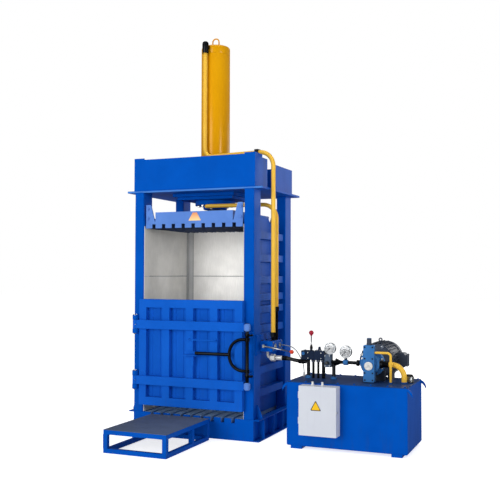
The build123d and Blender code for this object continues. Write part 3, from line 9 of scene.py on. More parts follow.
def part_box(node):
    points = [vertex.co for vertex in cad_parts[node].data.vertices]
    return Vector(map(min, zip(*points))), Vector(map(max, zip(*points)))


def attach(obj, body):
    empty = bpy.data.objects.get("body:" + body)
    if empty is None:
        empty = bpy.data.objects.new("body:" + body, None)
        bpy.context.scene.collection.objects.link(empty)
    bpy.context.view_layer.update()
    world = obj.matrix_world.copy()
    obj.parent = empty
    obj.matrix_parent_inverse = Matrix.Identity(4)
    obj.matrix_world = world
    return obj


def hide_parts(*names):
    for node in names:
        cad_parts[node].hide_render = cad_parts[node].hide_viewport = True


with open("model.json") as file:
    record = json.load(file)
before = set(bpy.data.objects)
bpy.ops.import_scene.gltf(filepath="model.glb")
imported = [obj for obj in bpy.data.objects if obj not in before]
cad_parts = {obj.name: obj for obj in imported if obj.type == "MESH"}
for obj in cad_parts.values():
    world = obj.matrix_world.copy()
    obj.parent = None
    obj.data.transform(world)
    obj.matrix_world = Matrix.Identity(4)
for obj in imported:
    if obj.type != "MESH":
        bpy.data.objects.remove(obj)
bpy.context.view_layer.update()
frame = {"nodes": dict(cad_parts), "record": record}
scene = bpy.context.scene
nodes = frame["nodes"]

box_sides = {"left": (0, 0), "front": (0, 1), "under": (0, 2), "right": (1, 0), "rear": (1, 1), "top": (1, 2)}


def face(node, side):
    """Where a node's box ends on one side, in metres, rounded to a micrometre."""
    end, axis = box_sides[side]
    return round(float(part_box(node)[end][axis]), 6)


# Camera: a pinhole at the photograph's place, at eye height, with its three turns in degrees
camera_place = (3.530, -7.493, 1.600)
camera_yaw, camera_pitch, camera_roll = 22.69, 1.72, 0.14
sensor_mm = 36.0
image_px = 500
focal_px = 788


def look_from(place, yaw, pitch, roll):
    """Puts the camera at place: yaw turns it left, pitch lifts its nose and roll leans it, in radians.
    The lens is the sensor's width times the focal length over the image's width, both in pixels."""
    up = Vector((0, 0, 1))
    level = Vector((-math.sin(yaw), math.cos(yaw), 0))
    side = Vector((math.cos(yaw), math.sin(yaw), 0))
    ahead = level * math.cos(pitch) + up * math.sin(pitch)
    over = up * math.cos(pitch) - level * math.sin(pitch)
    across = side * math.cos(roll) + over * math.sin(roll)
    over = over * math.cos(roll) - side * math.sin(roll)
    data = bpy.data.cameras.new("photo_view")
    data.sensor_width = sensor_mm
    data.lens = focal_px / image_px * sensor_mm
    data.clip_end = 100.0
    camera = bpy.data.objects.new("photo_view", data)
    scene.collection.objects.link(camera)
    turn = Matrix((across, over, -ahead)).transposed().to_4x4()
    camera.matrix_world = Matrix.Translation(place) @ turn
    scene.camera = camera


look_from(Vector(camera_place), math.radians(camera_yaw), math.radians(camera_pitch),
          math.radians(camera_roll))


# Node trees
def linear(code):
    """An sRGB hex colour as linear RGBA: up to 0.04045 the share over 12.92, above it the 2.4 power curve."""
    parts = np.array([int(code[i:i + 2], 16) / 255 for i in (1, 3, 5)])
    curve = np.where(parts <= 0.04045, parts / 12.92, ((parts + 0.055) / 1.055) ** 2.4)
    return (*curve.tolist(), 1.0)


def add(tree, kind, settings=None, links=None):
    """Adds a node: settings go to its properties or input sockets, links join its inputs to other sockets."""
    made = tree.nodes.new(kind)
    for key, value in (settings or {}).items():
        if isinstance(key, str) and hasattr(made, key):
            setattr(made, key, value)
        else:
            made.inputs[key].default_value = value
    for key, socket in (links or {}).items():
        tree.links.new(made.inputs[key], socket)
    return made


def begin(name):
    """A material with a shader, and the object's own coordinates in metres."""
    made = bpy.data.materials.new(name)
    made.use_nodes = True
    tree = made.node_tree
    shader = next(n for n in tree.nodes if n.type == "BSDF_PRINCIPLED")
    place = add(tree, "ShaderNodeTexCoord").outputs["Object"]
    return made, tree, shader, place


# How often each slow pattern repeats in a metre, and how the grime's runs are pulled tall and narrow
clouds_per_m = 2.3
runs_per_m = 3.1
runs_pull = (9.0, 9.0, 0.9)
stains_per_m = 7.0
tones_per_m = 11.0
# How high grime climbs from the ground, in metres, and its colour
grime_top = 0.7
grime_code = "#3A3B3C"


def sprayed_enamel(name, code, worn, rough, peel_mm=9.0, grime=0.25, coat=0.0, gloss_share=0.14):
    """Sprayed machine enamel: two tones in slow clouds, orange peel in the gloss, and grime that gathers
    low down, in runs that are ten times as long as they are wide."""
    made, tree, shader, place = begin(name)
    clouds = add(tree, "ShaderNodeTexNoise", {"Scale": clouds_per_m, "Detail": 5.0, "Roughness": 0.6},
                 {"Vector": place})
    tones = add(tree, "ShaderNodeValToRGB", links={0: clouds.outputs["Fac"]})
    for stop, share, tone in zip(tones.color_ramp.elements, (0.34, 0.62), (worn, code)):
        stop.position = share
        stop.color = linear(tone)
    pulled = add(tree, "ShaderNodeMapping", {"Scale": runs_pull}, {"Vector": place})
    runs = add(tree, "ShaderNodeTexNoise", {"Scale": runs_per_m, "Detail": 6.0, "Roughness": 0.7},
               {"Vector": pulled.outputs[0]})
    height = add(tree, "ShaderNodeSeparateXYZ", links={0: place})
    low = add(tree, "ShaderNodeMapRange",
              {"From Min": 0.0, "From Max": grime_top, "To Min": 1.0, "To Max": 0.15},
              {0: height.outputs["Z"]})
    dirt = add(tree, "ShaderNodeMapRange",
               {"From Min": 0.52, "From Max": 0.78, "To Min": 0.0, "To Max": grime},
               {0: runs.outputs["Fac"]})
    amount = add(tree, "ShaderNodeMath", {"operation": "MULTIPLY"}, {0: low.outputs[0], 1: dirt.outputs[0]})
    grimy = add(tree, "ShaderNodeMix", {"data_type": "RGBA", 7: linear(grime_code)},
                {0: amount.outputs[0], 6: tones.outputs[0]})
    tree.links.new(shader.inputs["Base Color"], grimy.outputs[2])
    gloss = add(tree, "ShaderNodeMapRange", {"To Min": rough - 0.06, "To Max": rough + 0.10},
                {0: runs.outputs["Fac"]})
    tree.links.new(shader.inputs["Roughness"], gloss.outputs[0])
    peel = add(tree, "ShaderNodeTexNoise", {"Scale": 1000.0 / peel_mm, "Detail": 2.0}, {"Vector": place})
    bump = add(tree, "ShaderNodeBump", {"Strength": 0.10, "Distance": 0.0008},
               {"Height": peel.outputs["Fac"]})
    tree.links.new(shader.inputs["Normal"], bump.outputs[0])
    shader.inputs["IOR"].default_value = 1.5
    shader.inputs["Specular IOR Level"].default_value = gloss_share
    shader.inputs["Specular Tint"].default_value = linear(code)
    shader.inputs["Coat Weight"].default_value = coat
    shader.inputs["Coat Roughness"].default_value = 0.22
    return made


def bare_metal(name, code, second, rough, stretch, grain_mm=2.5, depth=0.0003, metal=1.0):
    """Bare metal: a grain stretched the way it was rolled, turned or ground, in colour, gloss and bump."""
    made, tree, shader, place = begin(name)
    pulled = add(tree, "ShaderNodeMapping", {"Scale": stretch}, {"Vector": place})
    grain = add(tree, "ShaderNodeTexNoise", {"Scale": 1000.0 / grain_mm, "Detail": 6.0, "Roughness": 0.65},
                {"Vector": pulled.outputs[0]})
    stain = add(tree, "ShaderNodeTexNoise", {"Scale": stains_per_m, "Detail": 4.0}, {"Vector": place})
    both = add(tree, "ShaderNodeMath", {"operation": "MULTIPLY"},
               {0: grain.outputs["Fac"], 1: stain.outputs["Fac"]})
    tones = add(tree, "ShaderNodeValToRGB", links={0: both.outputs[0]})
    for stop, share, tone in zip(tones.color_ramp.elements, (0.12, 0.38), (second, code)):
        stop.position = share
        stop.color = linear(tone)
    tree.links.new(shader.inputs["Base Color"], tones.outputs[0])
    gloss = add(tree, "ShaderNodeMapRange", {"To Min": rough - 0.05, "To Max": rough + 0.12},
                {0: grain.outputs["Fac"]})
    tree.links.new(shader.inputs["Roughness"], gloss.outputs[0])
    bump = add(tree, "ShaderNodeBump", {"Strength": 0.25, "Distance": depth},
               {"Height": grain.outputs["Fac"]})
    tree.links.new(shader.inputs["Normal"], bump.outputs[0])
    shader.inputs["Metallic"].default_value = metal
    return made


def moulded(name, code, second, rough, depth=0.0002):
    """Moulded rubber or plastic: a fine pebble from the mould and a slow change of tone."""
    pebble_mm = 1.6
    made, tree, shader, place = begin(name)
    slow = add(tree, "ShaderNodeTexNoise", {"Scale": tones_per_m, "Detail": 3.0}, {"Vector": place})
    tones = add(tree, "ShaderNodeValToRGB", links={0: slow.outputs["Fac"]})
    for stop, share, tone in zip(tones.color_ramp.elements, (0.35, 0.65), (second, code)):
        stop.position = share
        stop.color = linear(tone)
    tree.links.new(shader.inputs["Base Color"], tones.outputs[0])
    pebble = add(tree, "ShaderNodeTexVoronoi", {"Scale": 1000.0 / pebble_mm}, {"Vector": place})
    gloss = add(tree, "ShaderNodeMapRange", {"To Min": rough - 0.04, "To Max": rough + 0.08},
                {0: slow.outputs["Fac"]})
    tree.links.new(shader.inputs["Roughness"], gloss.outputs[0])
    bump = add(tree, "ShaderNodeBump", {"Strength": 0.2, "Distance": depth},
               {"Height": pebble.outputs["Distance"]})
    tree.links.new(shader.inputs["Normal"], bump.outputs[0])
    shader.inputs["IOR"].default_value = 1.5
    return made


def two_tone_film(name, foot_code, head_code, foot, head):
    """Thin printed film: one tone at the height foot, running evenly to the other at the height head."""
    made, tree, shader, place = begin(name)
    height = add(tree, "ShaderNodeSeparateXYZ", links={0: place})
    share = add(tree, "ShaderNodeMapRange", {"From Min": foot, "From Max": head}, {0: height.outputs["Z"]})
    printed = add(tree, "ShaderNodeMix", {"data_type": "RGBA", 6: linear(foot_code), 7: linear(head_code)},
                  {0: share.outputs[0]})
    tree.links.new(shader.inputs["Base Color"], printed.outputs[2])
    shader.inputs["Roughness"].default_value = 0.45
    return made


def clear_acrylic():
    """Clear moulded acrylic: smooth, and light passes through it."""
    made, _, shader, _ = begin("clear_acrylic")
    shader.inputs["Base Color"].default_value = linear("#FFFFFF")
    shader.inputs["Roughness"].default_value = 0.03
    shader.inputs["IOR"].default_value = 1.49
    shader.inputs["Transmission Weight"].default_value = 1.0
    return made


# Ways a metal's grain runs: the smaller a number, the longer the grain on that axis
grain_even = (1.0, 1.0, 1.0)
grain_upright = (1.0, 1.0, 0.06)
grain_plated = (1.0, 1.0, 0.3)
grain_machined = (1.0, 1.0, 0.1)
grain_rings = (0.05, 0.05, 1.0)

# Blue enamel on the welded press frame: even, satin, a little darker where it thins
press_blue = sprayed_enamel("satin_blue_enamel", "#0353B8", "#024CAC", 0.42)
# The same enamel, a touch lighter, on the door
door_blue = sprayed_enamel("satin_door_enamel", "#145EC8", "#1058BE", 0.40)
# The same enamel painted lighter: a painted highlight along rounded edges
edge_highlight_blue = sprayed_enamel("painted_edge_highlight_enamel", "#4A80CC", "#3F73BE", 0.40, peel_mm=4.0)
# Light-blue enamel on the platen and bosses
platen_blue = sprayed_enamel("light_blue_enamel", "#5F88D2", "#567EC8", 0.42, grime=0.15)
# The platen bars: the same blue painted dark, a painted shade for the shadow under the platen
platen_shade_blue = sprayed_enamel("painted_platen_shade_enamel", "#39486A", "#2B3650", 0.50, grime=0.35)
# The floor bars: a paler, greyer blue, painted lighter to lift the shade over the bars' ends
floor_lightened_blue = sprayed_enamel("lightened_floor_enamel", "#86A9D2", "#7797C0", 0.50, grime=0.35)
# Gloss yellow enamel on the cylinder: deep golden, with a tight highlight
cylinder_yellow = sprayed_enamel("golden_gloss_enamel", "#DF9F04", "#D79602", 0.34, grime=0.0, coat=0.25,
                                 gloss_share=0.3)
# The pipes' yellow is paler
pipe_yellow = sprayed_enamel("yellow_gloss_enamel", "#F2C24A", "#EAB63E", 0.34, grime=0.0, coat=0.2,
                             gloss_share=0.3)
# Pale grey powder coat: fine even orange peel
box_grey = sprayed_enamel("pale_grey_powder_coat", "#D2D6DE", "#CDD1DA", 0.45, peel_mm=4.0, grime=0.08)
# Dark grey enamel on the motor's castings
motor_grey = sprayed_enamel("dark_grey_enamel", "#464E5E", "#363C47", 0.38, peel_mm=6.0, grime=0.2,
                            gloss_share=0.6)
# Blue-black enamel on the directional valve's sections
valve_navy = sprayed_enamel("blue_black_enamel", "#26324A", "#1B2436", 0.36, peel_mm=4.0, grime=0.2,
                            gloss_share=0.5)
# Slate-grey enamel on the relief valve
valve_slate = sprayed_enamel("slate_grey_enamel", "#5A6A80", "#4A586C", 0.40, peel_mm=4.0, grime=0.2,
                             gloss_share=0.4)
# Steel-blue enamel over the pump's sand-cast iron: grainier
pump_blue = sprayed_enamel("steel_blue_cast_enamel", "#3F7ABA", "#346AA6", 0.42, peel_mm=5.0, grime=0.2,
                           gloss_share=0.2)
# Darker blue on the tank's lid: a film of oil, with painted shade and a painted dark reflection on its
# grazing top
lid_oil_and_shade_blue = sprayed_enamel("oiled_and_shaded_lid_enamel", "#23457C", "#1B3768", 0.38, grime=0.3, gloss_share=0.3)
# Rolled galvanised sheet gone pale with zinc bloom: faintly clouded, grain up and down
liner_sheet = bare_metal("rolled_galvanised_sheet", "#E6E4DF", "#D3D1CC", 0.46, grain_upright, grain_mm=5.0,
                         metal=0.12)
# The bent corner strips are a duller sheet, painted darker as painted shade in the chamber's rear corners
corner_strip_shade_sheet = bare_metal("dull_shaded_corner_sheet", "#CBCBC9", "#B7B8B7", 0.44, grain_upright, grain_mm=5.0,
                         metal=0.2)
# The seams' weld metal is darker, burnt grey
seam_steel = bare_metal("burnt_weld_metal", "#989A9C", "#777A7D", 0.42, grain_even, grain_mm=3.0, metal=0.3)
# Dull dark grey enamel on the step's tread, rubbed by boots
tread_grey = sprayed_enamel("rubbed_tread_enamel", "#606C82", "#545F74", 0.55, grime=0.35)
# Black oxide on the fittings: almost black, oily
black_oxide = bare_metal("black_oxide_steel", "#2A2C30", "#17191B", 0.38, grain_even, grain_mm=3.0)
# Zinc plating: pale, a little mottled
zinc_plate = bare_metal("zinc_plated_steel", "#D5D7D6", "#A9ADAF", 0.28, grain_plated, grain_mm=4.0)
# Zinc passivated pale on the big hose fittings
pale_zinc = bare_metal("pale_passivated_zinc", "#E6E5DF", "#CFCFC9", 0.34, grain_plated, grain_mm=4.0,
                       metal=0.35)
# Hard chrome on the ram: mirror-like with fine rings from grinding
hard_chrome = bare_metal("ground_hard_chrome", "#E6E8EA", "#C9CDD1", 0.10, grain_rings, grain_mm=2.0,
                         depth=0.0001)
# Machined iron: dark and matt
machined_iron = bare_metal("machined_iron", "#777C82", "#565A5F", 0.40, grain_machined)
# Hose rubber: matt black with a faint pebble
hose_rubber = moulded("wrapped_hose_rubber", "#1E1F21", "#141517", 0.62)
# Cable sheath: soft grey PVC
cable_sheath = moulded("grey_pvc_sheath", "#9EA3A8", "#8D9297", 0.48)
# Pale polyamide of the cable glands
pale_polyamide = moulded("pale_polyamide", "#ECEDEB", "#DADBD8", 0.42)
# Orange-red phenolic on the side lever's ball: glossy
red_phenolic = moulded("red_phenolic", "#E8431E", "#D93A18", 0.22, depth=0.00005)
# The tall lever's ball is a deeper crimson
crimson_phenolic = moulded("crimson_phenolic", "#BE2740", "#A81F36", 0.22, depth=0.00005)
# Black phenolic: knobs and caps
black_phenolic = moulded("black_phenolic", "#1A1B1D", "#111214", 0.32)
# Satin steel of the gauge cases
gauge_steel = bare_metal("satin_gauge_steel", "#B9BDC1", "#93989D", 0.30, grain_even)
# Film of the platen's bare sign: orange at the top, running to pale yellow below
sign_orange = two_tone_film("orange_to_yellow_film", "#F6CF8C", "#E08A50", foot=2.130, head=2.200)
# Yellow printed film inside the black border
sign_yellow = sprayed_enamel("yellow_film", "#F2C230", "#EDB928", 0.38, grime=0.0)
# White lacquer on the gauge dials
dial_white = moulded("white_dial_lacquer", "#F4F6F8", "#EEF1F4", 0.35)
# Clear acrylic over the dials
clear_lens = clear_acrylic()

finish_of = {
    "press_blue": press_blue, "door_blue": door_blue, "platen_blue": platen_blue,
    "cylinder_yellow": cylinder_yellow, "pipe_yellow": pipe_yellow, "box_grey": box_grey,
    "motor_grey": motor_grey, "pump_blue": pump_blue, "galvanised_sheet": liner_sheet,
    "step_sheet": tread_grey, "black_fittings": black_oxide, "zinc_steel": zinc_plate,
    "polished_steel": hard_chrome, "steel_dark": machined_iron, "hose_rubber": hose_rubber,
    "cable_grey": cable_sheath, "white_plastic": pale_polyamide, "knob_red": red_phenolic,
    "black_plastic": black_phenolic, "gauge_case": gauge_steel,
}


# Cords
def run_cord(name, points_mm, diameter, slot, node, body, **facts):
    """A cord on one NURBS spline of order three whose control points are the route's own points."""
    curve = bpy.data.curves.new(name, "CURVE")
    curve.dimensions = "3D"
    curve.bevel_depth = diameter / 2
    curve.bevel_resolution = 6
    curve.resolution_u = 16
    curve.use_fill_caps = True
    spline = curve.splines.new("NURBS")
    spline.points.add(len(points_mm) - 1)
    for point, place in zip(spline.points, points_mm):
        point.co = (place[0] / 1000, place[1] / 1000, place[2] / 1000, 1)
    spline.order_u = 3
    spline.use_endpoint_u = True
    cord = bpy.data.objects.new(name, curve)
    scene.collection.objects.link(cord)
    curve.materials.append(finish_of[slot])
    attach(cord, body)
    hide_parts(node)
    [c / 1000 for c in points_mm[0]]


hose_route = ((865, -300, 784), (925, -300, 784), (1030, -300, 762), (1085, -300, 762))
run_cord("hydraulic_hose", hose_route, 0.036, "hose_rubber", "press_hose", "frame",
         length=0.222, far_end="object", stiffness="stiff", lay="taut")
cable_route = ((800, -150, 896), (857, -150, 896), (950, -176, 872), (1015, -195, 790), (1053, -200, 705),
               (1053, -200, 644))
run_cord("signal_cable", cable_route, 0.010, "cable_grey", "control_cable", "frame",
         length=0.41, far_end="object", stiffness="medium", lay="hanging")


# Surfaces
forwards, upwards, rightwards = (0, -1, 0), (0, 0, 1), (1, 0, 0)


def skin(name, grids, body, slot, finish=None, caps=(True, True), smooth_angle=40):
    """One mesh from grids of points (rows, around, 3): quads join neighbours, each row closes on itself, and
    the end rows get a face. The finish is the slot's own, unless another is named."""
    mesh = bpy.data.meshes.new(name)
    points, faces, first = [], [], 0
    for grid in grids:
        rows, around = grid.shape[:2]
        index = first + np.arange(rows * around).reshape(rows, around)
        turn = np.roll(index, -1, axis=1)
        faces += np.stack((index[:-1], turn[:-1], turn[1:], index[1:]), axis=-1).reshape(-1, 4).tolist()
        faces += [index[0][::-1].tolist()] if caps[0] else []
        faces += [index[-1].tolist()] if caps[1] else []
        points.append(grid.reshape(-1, 3))
        first += rows * around
    mesh.from_pydata(np.concatenate(points).tolist(), [], faces)
    mesh.shade_smooth()
    mesh.set_sharp_from_angle(angle=math.radians(smooth_angle))
    mesh.materials.append(finish or finish_of[slot])
    made = bpy.data.objects.new(name, mesh)
    scene.collection.objects.link(made)
    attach(made, body)


def across_of(axis):
    """A vector's direction and two unit vectors square to it, which make a right-handed set with it."""
    axis = np.asarray(axis, float) / np.linalg.norm(axis)
    side = np.cross(upwards, axis) if abs(axis[2]) < 0.9 else np.array((1.0, 0, 0))
    side = side / np.linalg.norm(side)
    return axis, side, np.cross(axis, side)


def turned(centre, axis, rows, around=48, flats=0, lobes=0, depth=0.0):
    """Rows of (radius, height) carried round axis. With n flats the radius r becomes r cos(pi / n) over the
    cosine of the angle from the flat's middle. With n lobes it becomes r (1 + depth cos(n angle))."""
    axis, side, over = across_of(axis)
    angle = np.arange(around) * 2 * np.pi / around
    shape = np.ones(around)
    if flats:
        shape = np.cos(np.pi / flats) / np.cos((angle + np.pi / flats) % (2 * np.pi / flats) - np.pi / flats)
    if lobes:
        shape = 1 + depth * np.cos(lobes * angle)
    spoke = shape[:, None] * (np.cos(angle)[:, None] * side + np.sin(angle)[:, None] * over)
    rows = np.asarray(rows, float)
    return np.asarray(centre) + rows[:, 1, None, None] * axis + rows[:, 0, None, None] * spoke[None]


def swept(path, profiles, level):
    """A closed profile for each point of a path (m, n, 2), set square to the path: the profile's first axis
    is level x ahead, its second ahead x first."""
    ahead = np.gradient(path, axis=0)
    ahead /= np.linalg.norm(ahead, axis=1, keepdims=True)
    side = np.cross(level, ahead)
    side /= np.linalg.norm(side, axis=1, keepdims=True)
    over = np.cross(ahead, side)
    return path[:, None] + profiles[..., :1] * side[:, None] + profiles[..., 1:] * over[:, None]


def ring_of(radius, count, start=0.0):
    """Points (count, 2) spaced evenly on a circle, radius times the cosine and sine of the angle."""
    angle = np.arange(count) * 2 * np.pi / count + start
    return radius * np.stack((np.cos(angle), np.sin(angle)), axis=-1)


def ball_rows(radius, lowest, count):
    """Rows of (radius, height) for a ball: at the share h of its radius above the middle, a row's radius is
    the ball's times the root of 1 - h squared."""
    share = np.linspace(lowest, 0.999, count)
    return radius * np.stack((np.sqrt(1 - share ** 2), share), axis=-1)


def rounded(corners, radius):
    """A convex outline whose corners become arcs of five points. An arc's centre lies radius / sin(half
    angle) inside its corner, on the corner's bisector."""
    corners = np.asarray(corners, float)
    share = np.linspace(0, 1, 5)[:, None]
    arcs = []
    for before, corner, after in zip(np.roll(corners, 1, 0), corners, np.roll(corners, -1, 0)):
        back = (before - corner) / np.linalg.norm(before - corner)
        out = (after - corner) / np.linalg.norm(after - corner)
        half = math.acos(float(np.clip(back @ out, -1, 1))) / 2
        centre = corner + (back + out) / np.linalg.norm(back + out) * radius / math.sin(half)
        start = corner + back * radius / math.tan(half) - centre
        end = corner + out * radius / math.tan(half) - centre
        bow = start * (1 - share) + end * share
        arcs.append(centre + bow / np.linalg.norm(bow, axis=1, keepdims=True) * radius)
    return np.concatenate(arcs)


def stacked(outline, levels, place, across, up):
    """An outline (n, 2) drawn at rows of (inset, height): each point moves inset towards the middle, and
    height along across x up."""
    outline = np.asarray(outline, float)
    across, up = np.asarray(across, float), np.asarray(up, float)
    out = np.cross(across, up)
    middle = outline.mean(axis=0)
    spoke = outline - middle
    far = np.linalg.norm(spoke, axis=1, keepdims=True)
    rows = []
    for inset, height in levels:
        flat = middle + spoke * (1 - inset / far)
        rows.append(np.asarray(place) + flat[:, :1] * across + flat[:, 1:] * up + height * out)
    return np.array(rows)


def facing(outline, levels, y, x=0, z=0):
    """A stacked outline in x and z that faces forwards, its heights measured forwards from y."""
    return stacked(outline, levels, (x, y, z), rightwards, upwards)


def panel(x, z, radius):
    """A rounded rectangle over the ranges x and z, counterclockwise."""
    return rounded(((x[0], z[0]), (x[1], z[0]), (x[1], z[1]), (x[0], z[1])), radius)


def bolt_heads(places, axis, across, height):
    """Hexagon heads: a washer, a flat-sided body and a chamfered crown, each turned about axis."""
    washer = ((across * 0.72, 0), (across * 0.72, height * 0.14), (across * 0.60, height * 0.16))
    corner = across / 2 / 0.866
    head = ((corner, height * 0.1), (corner, height * 0.86), (across * 0.5, height))
    grids = []
    for place in places:
        grids.append(turned(place, axis, washer, 24))
        grids.append(turned(place, axis, head, 24, flats=6))
    return grids


def cap_screws(places, axis, radius, height):
    """Socket-head screws: a barrel with a round edge and a six-sided pocket sunk by half its height."""
    rows = ((radius, 0), (radius, height * 0.85), (radius * 0.9, height), (radius * 0.55, height))
    grids = []
    for place in places:
        shell = turned(place, axis, rows, 24)
        pocket = turned(place, axis, ((radius * 0.55, height), (radius * 0.5, height * 0.5)), 24, flats=6)
        grids.append(np.concatenate((shell, pocket[1:])))
    return grids


def weld_beads(lines, radius, ripple=0.012):
    """Weld beads along straight lines: the radius swells by a sixth once in each ripple and fades at both
    ends, with the root of the distance from the end over 1.5 radii."""
    grids = []
    for start, end in lines:
        start, end = np.asarray(start, float), np.asarray(end, float)
        length = np.linalg.norm(end - start)
        count = max(12, int(length / ripple * 4))
        along = np.linspace(0, 1, count)
        swell = radius * (1 + 0.17 * np.cos(2 * np.pi * along * length / ripple))
        swell *= np.clip(np.minimum(along, 1 - along) * length / (1.5 * radius), 0.15, 1) ** 0.5
        level = (0, 1, 0) if abs((end - start)[2]) > 0.8 * length else upwards
        path = start + along[:, None] * (end - start)
        grids.append(swept(path, swell[:, None, None] * ring_of(1, 8)[None], level))
    return grids


# Finishes and eased edges of the carried-over nodes, in millimetres
slot_of = {row["node"]: row["material_slot"] for row in frame["record"]["subparts"]}
usual_edge_mm = 1.6
edge_mm = {
    "step_top": 0.8, "liner_sheets": 0.5, "electrical_box": 1.2, "electrical_door": 2.5, "gauges": 0.8,
    "gauge_needle_1": 0.0, "gauge_needle_2": 0.0, "relief_knob": 0.5, "door_lock": 0.5,
    "side_valve_lever": 0.0, "valve_lever": 0.0, "latch_handle": 0.0, "door_pull": 0.0, "motor_rotor": 0.0,
}
own_finish = {
    "platen_bars": platen_shade_blue, "floor_bars": floor_lightened_blue, "tank_lid": lid_oil_and_shade_blue, "hose_fitting": pale_zinc,
    "bell_housing": motor_grey, "directional_valve": valve_navy, "relief_valve": valve_slate,
}
for name, node in nodes.items():
    node.data.materials.clear()
    node.data.materials.append(own_finish.get(name, finish_of[slot_of[name]]))
    width = edge_mm.get(name, usual_edge_mm)
    weld = node.modifiers.new("joined", "WELD")
    weld.merge_threshold = 0.00002
    if width:
        edge = node.modifiers.new("eased_edges", "BEVEL")
        edge.width = width / 1000
        edge.segments = 2
        edge.limit_method = "ANGLE"
        edge.angle_limit = math.radians(35)
        edge.use_clamp_overlap = True
        edge.harden_normals = False


# Press
front_y = face("columns", "front")
column_inner = face("rear_wall", "right")
column_outer = face("side_valve_bracket", "left")
base_top = face("columns", "under")
head_under = face("head_plate", "under")
head_top = face("head_plate", "top")

# The liner's inner faces, and how wide its corner strips are
liner_sheet_thick = 0.004
liner_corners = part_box("liner_sheets")
liner_x = liner_corners[1][0] - liner_sheet_thick
liner_y = liner_corners[1][1] - liner_sheet_thick
liner_low, liner_high = liner_corners[0][2], liner_corners[1][2]
strip_wide = 0.052


def press_welds():
    """Fillet welds where the columns meet the base and the head plate, where the head beams stand on the
    plate, and round the two steps of the cylinder's mount."""
    side_run, front_beam_run, rear_beam_run = 0.18, 0.19, 0.487
    lines = []
    for side in (-1, 1):
        inner, outer = side * column_inner, side * column_outer
        for level in (base_top, head_under):
            lines.append(((inner, front_y, level), (outer, front_y, level)))
            lines.append(((outer, front_y, level), (outer, front_y + side_run, level)))
            lines.append(((inner, -front_y, level), (outer, -front_y, level)))
            lines.append(((outer, -front_y - side_run, level), (outer, -front_y, level)))
    left, right = face("head_beams", "left"), face("head_beams", "right")
    front, rear = face("head_beams", "front"), face("head_beams", "rear")
    for y in (front, rear):
        lines.append(((left, y, head_top), (right, y, head_top)))
    for x in (left, right):
        lines.append(((x, front, head_top), (x, front + front_beam_run, head_top)))
        lines.append(((x, rear - rear_beam_run, head_top), (x, rear, head_top)))
    wide, deep = face("cylinder_mount", "right"), face("cylinder_mount", "rear")
    for half_x, half_y, level in ((wide, deep, head_under), (wide - 0.035, deep - 0.040, head_under - 0.030)):
        for side in (-1, 1):
            lines.append(((-half_x, side * half_y, level), (half_x, side * half_y, level)))
            lines.append(((side * half_x, -half_y, level), (side * half_x, half_y, level)))
    skin("press_welds", weld_beads(lines, 0.0045), "frame", "press_blue")


def head_plate_edge():
    """The head plate's rounded front edge, in a lighter enamel that is a painted highlight: an ellipse's arc,
    bulge times the cosine forwards and half_high times the sine upwards, carried from side to side."""
    bulge, sunk, half_high = 0.006, 0.0036, 0.0120
    end_x = face("head_plate", "right") - 0.0015
    bend = np.linspace(0.95, -0.95, 9)
    y = front_y + sunk - bulge * np.cos(bend)
    z = (head_under + head_top) / 2 + half_high * np.sin(bend)
    rows = [np.stack((np.full(len(bend), x), y, z), axis=-1) for x in (-end_x, 0, end_x)]
    skin("head_plate_edge", [np.array(rows)], "frame", "press_blue", edge_highlight_blue, smooth_angle=60)


def wall_welds():
    """Short stitch welds that hold the wall ribs to the columns, above and below each rib's ends."""
    rib_levels = (0.433, 0.655, 0.860, 1.060, 1.250, 1.370, 1.540, 1.755, 1.980)
    rib_half, stitch_y = 0.035, 0.345
    stitch_x = (0.585, 0.635)
    lines = []
    for level in rib_levels:
        for side in (-1, 1):
            for y in (-stitch_y, stitch_y):
                for z in (level - rib_half, level + rib_half):
                    lines.append(((side * stitch_x[0], y, z), (side * stitch_x[1], y, z)))
    skin("rib_stitch_welds", weld_beads(lines, 0.004), "frame", "press_blue")


def corner_strips():
    """Bent sheet strips up the two rear corners of the chamber: an angle section carried straight up."""
    wall, end_gap = 0.002, 0.004
    section = np.array(((0, 0), (strip_wide, 0), (strip_wide, wall), (wall, wall), (wall, strip_wide),
                        (0, strip_wide)))
    levels = np.array((liner_low + end_gap, liner_low + 0.9, liner_high - 0.5, liner_high - end_gap))
    grids = []
    for side in (-1, 1):
        # The right strip's section runs the other way round, so that its faces point outwards too
        turn = section[::-side]
        flat = np.stack((side * (liner_x - turn[:, 0]), liner_y - turn[:, 1]), axis=-1)
        flat = np.repeat(flat[None], len(levels), axis=0)
        heights = np.repeat(levels[:, None, None], len(section), axis=1)
        grids.append(np.concatenate((flat, heights), axis=-1))
    skin("liner_corner_strips", grids, "frame", "galvanised_sheet", corner_strip_shade_sheet, smooth_angle=20)


def liner_seams():
    """The weld along the sheets' level seam, and the welds up both edges of each corner strip."""
    seam, seam_front, seam_gap, proud = 1.571, -0.42, 0.05, 0.001
    lines = [((-liner_x + seam_gap, liner_y, seam), (liner_x - seam_gap, liner_y, seam))]
    for side in (-1, 1):
        lines.append(((side * liner_x, seam_front, seam), (side * liner_x, liner_y - seam_gap, seam)))
    low, high = liner_low + 0.01, liner_high - 0.01
    for side in (-1, 1):
        for x, y in ((liner_x - strip_wide, liner_y - proud), (liner_x - proud, liner_y - strip_wide)):
            lines.append(((side * x, y, low), (side * x, y, high)))
    skin("liner_seam_welds", weld_beads(lines, 0.0038, 0.014), "frame", "galvanised_sheet", seam_steel)


